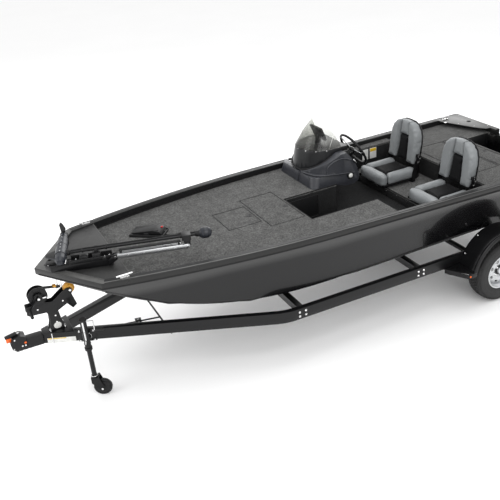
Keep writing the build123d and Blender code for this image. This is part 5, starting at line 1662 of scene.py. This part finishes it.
def make_outboard_fittings():
    """Seams, vents, latch, blank stripe, intakes, anode, bolts and nut."""
    seal = [(-2, -5), (1.6, -4), (1.6, 4), (-2, 5)]
    dark = [sweep("cowl_seal", rounded_loop(-720, -40, 228, 110, 1295), seal, BLACK)]
    for k in range(6):
        dark.append(brick("vent", (-725, -86, 1400 + k * 17), (-716, 86, 1409 + k * 17), 2, BLACK))
    dark.append(brick("latch", (-726, -34, 1262), (-712, 34, 1284), 4, BLACK))
    stripes = []
    for side in (-1, 1):
        near, far = side * 226, side * 229.2
        stripes.append(brick("stripe", (-610, near, 1372), (-190, far, 1378), 1, SILVER))
        stripes.append(brick("stripe", (-590, near, 1388), (-230, far, 1400), 1, SILVER))
    piece("cowl_trim", dark + stripes, "outboard_motor")
    leg = []
    for side in (-1, 1):
        for z in (700, 860, 1040):
            y = 38 + (z - 600) * 0.062
            leg.append(bar("leg_bolt", (-300, side * y, z), (-300, side * (y + 9), z), 9, BRIGHT, sides=6))
        for k in range(7):
            x = -262 - 12 * k
            leg.append(brick("intake", (x, side * 20, 500), (x + 6, side * 24.5, 556), 0.8, BLACK))
    leg.append(brick("anode", (-618, -26, 574), (-560, 26, 586), 4, SILVER))
    leg.append(bar("speed_port", (-196, 0, 560), (-204, 0, 560), 3, BRIGHT, sides=12))
    piece("leg_fittings", leg, "outboard_motor")
    nut_profile = [(20, 128), (20, 136), (12, 140), (11, 152), (0, 155)]
    nut = lathe("prop_nut", scaled(nut_profile), at(-470, 0, 405), (-1, 0, 0), 24, BRIGHT)
    piece("prop_nut", nut, "outboard_screw")
    bolts = []
    for y in (-72, 72):
        for z in (1020, 1070):
            bolts.append((at(76, y, z), (1, 0, 0)))
        for z in (860, 940):
            bolts.append((at(-12, y, z), (-1, 0, 0)))
    piece("transom_bolts", studs("transom_bolts", BOLT, bolts, BRIGHT, 1.3), ROOT)
    tubes = []
    for side in (-1, 1):
        tubes.append(bar("tilt_end", (-62, side * 104, 1148), (-62, side * 114, 1148), 19, BRIGHT, sides=6))
        tubes.append(bar("clamp_screw", (30, side * 60, 1108), (30, side * 60, 1114), 12, BLACK, sides=12))
    piece("clamp_fittings", tubes, ROOT)


make_outboard_fittings()


def make_stern_fittings():
    """Corner plates with screws, a blank light socket, filler cap, and the lamps' lenses."""
    parts = []
    for side in (-1, 1):
        rows = []
        for x, y in ((40, 400), (40, 860), (170, 470), (250, 640), (320, 830)):
            rows.append((at(x, side * y, sheer(x) + 0.6), (0, 0, 1)))
        parts.append(studs("plate_screws", SCREW, rows, BRIGHT, 1.5))
        x, y, z = 96, side * 640, sheer(96)
        parts.append(bar("socket", (x, y, z), (x, y, z + 5), 24, BLACK, sides=40))
        parts.append(bar("socket_cap", (x, y, z + 4), (x, y, z + 8), 15, BLACK, sides=32))
        edge = [(x, side * y, sheer(x) - 4) for x, y in ((20, 337), (118, 337), (190, 452), (342, 815))]
        for start, end in zip(edge, edge[1:]):
            parts.append(bar("plate_edge", start, end, 4, STEEL_BLACK, sides=12))
    parts.append(bar("filler", (250, 720, sheer(250)), (250, 720, sheer(250) + 7), 30, BLACK, sides=40))
    parts.append(ring("filler_ring", at(250, 720, sheer(250) + 2), (0, 0, 1), 33, 3, BRIGHT))
    parts.append(brick("hinge_leaf", (310, -780, sheer(310) - 1), (345, -748, sheer(310) + 3), 1.2, BRIGHT))
    parts.append(bar("drain_plug", (-2, 0, 640), (-14, 0, 640), 18, BRIGHT, sides=32))
    parts.append(bar("drain_key", (-13, 0, 640), (-22, 0, 640), 8, BRIGHT, sides=6))
    for y in (-560, 560):
        parts.append(bar("thru_hull", (-1, y, 960), (-9, y, 960), 26, BLACK, sides=36))
    piece("stern_fittings", parts, ROOT)
    lens = []
    for side in (-1, 1):
        y = side * 795
        for k in range(5):
            lens.append(brick("lens_rib", (-126, y - 20, 436 + k * 12), (-121, y + 20, 442 + k * 12),
                              1, RED))
    piece("lamp_ribs", lens, ROOT)


make_stern_fittings()


def make_frame_fittings():
    """Light tie rods in the frame's vee, bunk bolts, axle U-bolts, rail bolts and wiring."""
    ties = [bar("tie_cross", (4215, -405, 482), (4215, 405, 482), 8, STEEL_BLACK),
            bar("tie_rod", (4846, 6, 500), (4215, 130, 484), 7, STEEL_BLACK)]
    turn = math.atan2(130 - 6, 4215 - 4846)
    c, sn = math.cos(turn), math.sin(turn)

    def place(a, b, z):
        return at(4396 + a * c - b * sn, 94 + a * sn + b * c, z)

    ties.append(brick("tie_plate", (-26, -48, 490), (26, 48, 494), 1.2, STEEL_BLACK, place))
    for b in (-26, 26):
        ties.append(bar("tie_hole", (0, b, 493.4), (0, b, 494.8), 9, WHITE, place, 24))
    piece("tie_rods", ties, ROOT)
    bolts = []
    for side in (-1, 1):
        for x in (140, 1950, 3200):
            for dx in (-30, 30):
                for drop in (30, 70):
                    bolts.append((at(x + dx, side * (RAIL_OUT + 0.2), rail_top(x) - drop), (0, side, 0)))
        for x in (1010, 1206):
            bolts.append((at(x, side * (RAIL_OUT + 0.2), RAIL_TOP - 60), (0, side, 0)))
    piece("rail_bolts", studs("rail_bolts", BOLT, bolts, BRIGHT, 1.2), ROOT)
    lines = []
    for side in (-1, 1):
        for x0, x1 in ((200, 1000), (1220, 1900), (2000, 3100)):
            start, end = (x0, side * 766, rail_top(x0) - 92), (x1, side * 766, rail_top(x1) - 92)
            lines.append(bar("conduit", start, end, 4, BLACK, sides=10))
    piece("rail_conduit", lines, ROOT)


make_frame_fittings()

for item in HIDDEN_ITEMS:
    bpy.data.objects.remove(item)
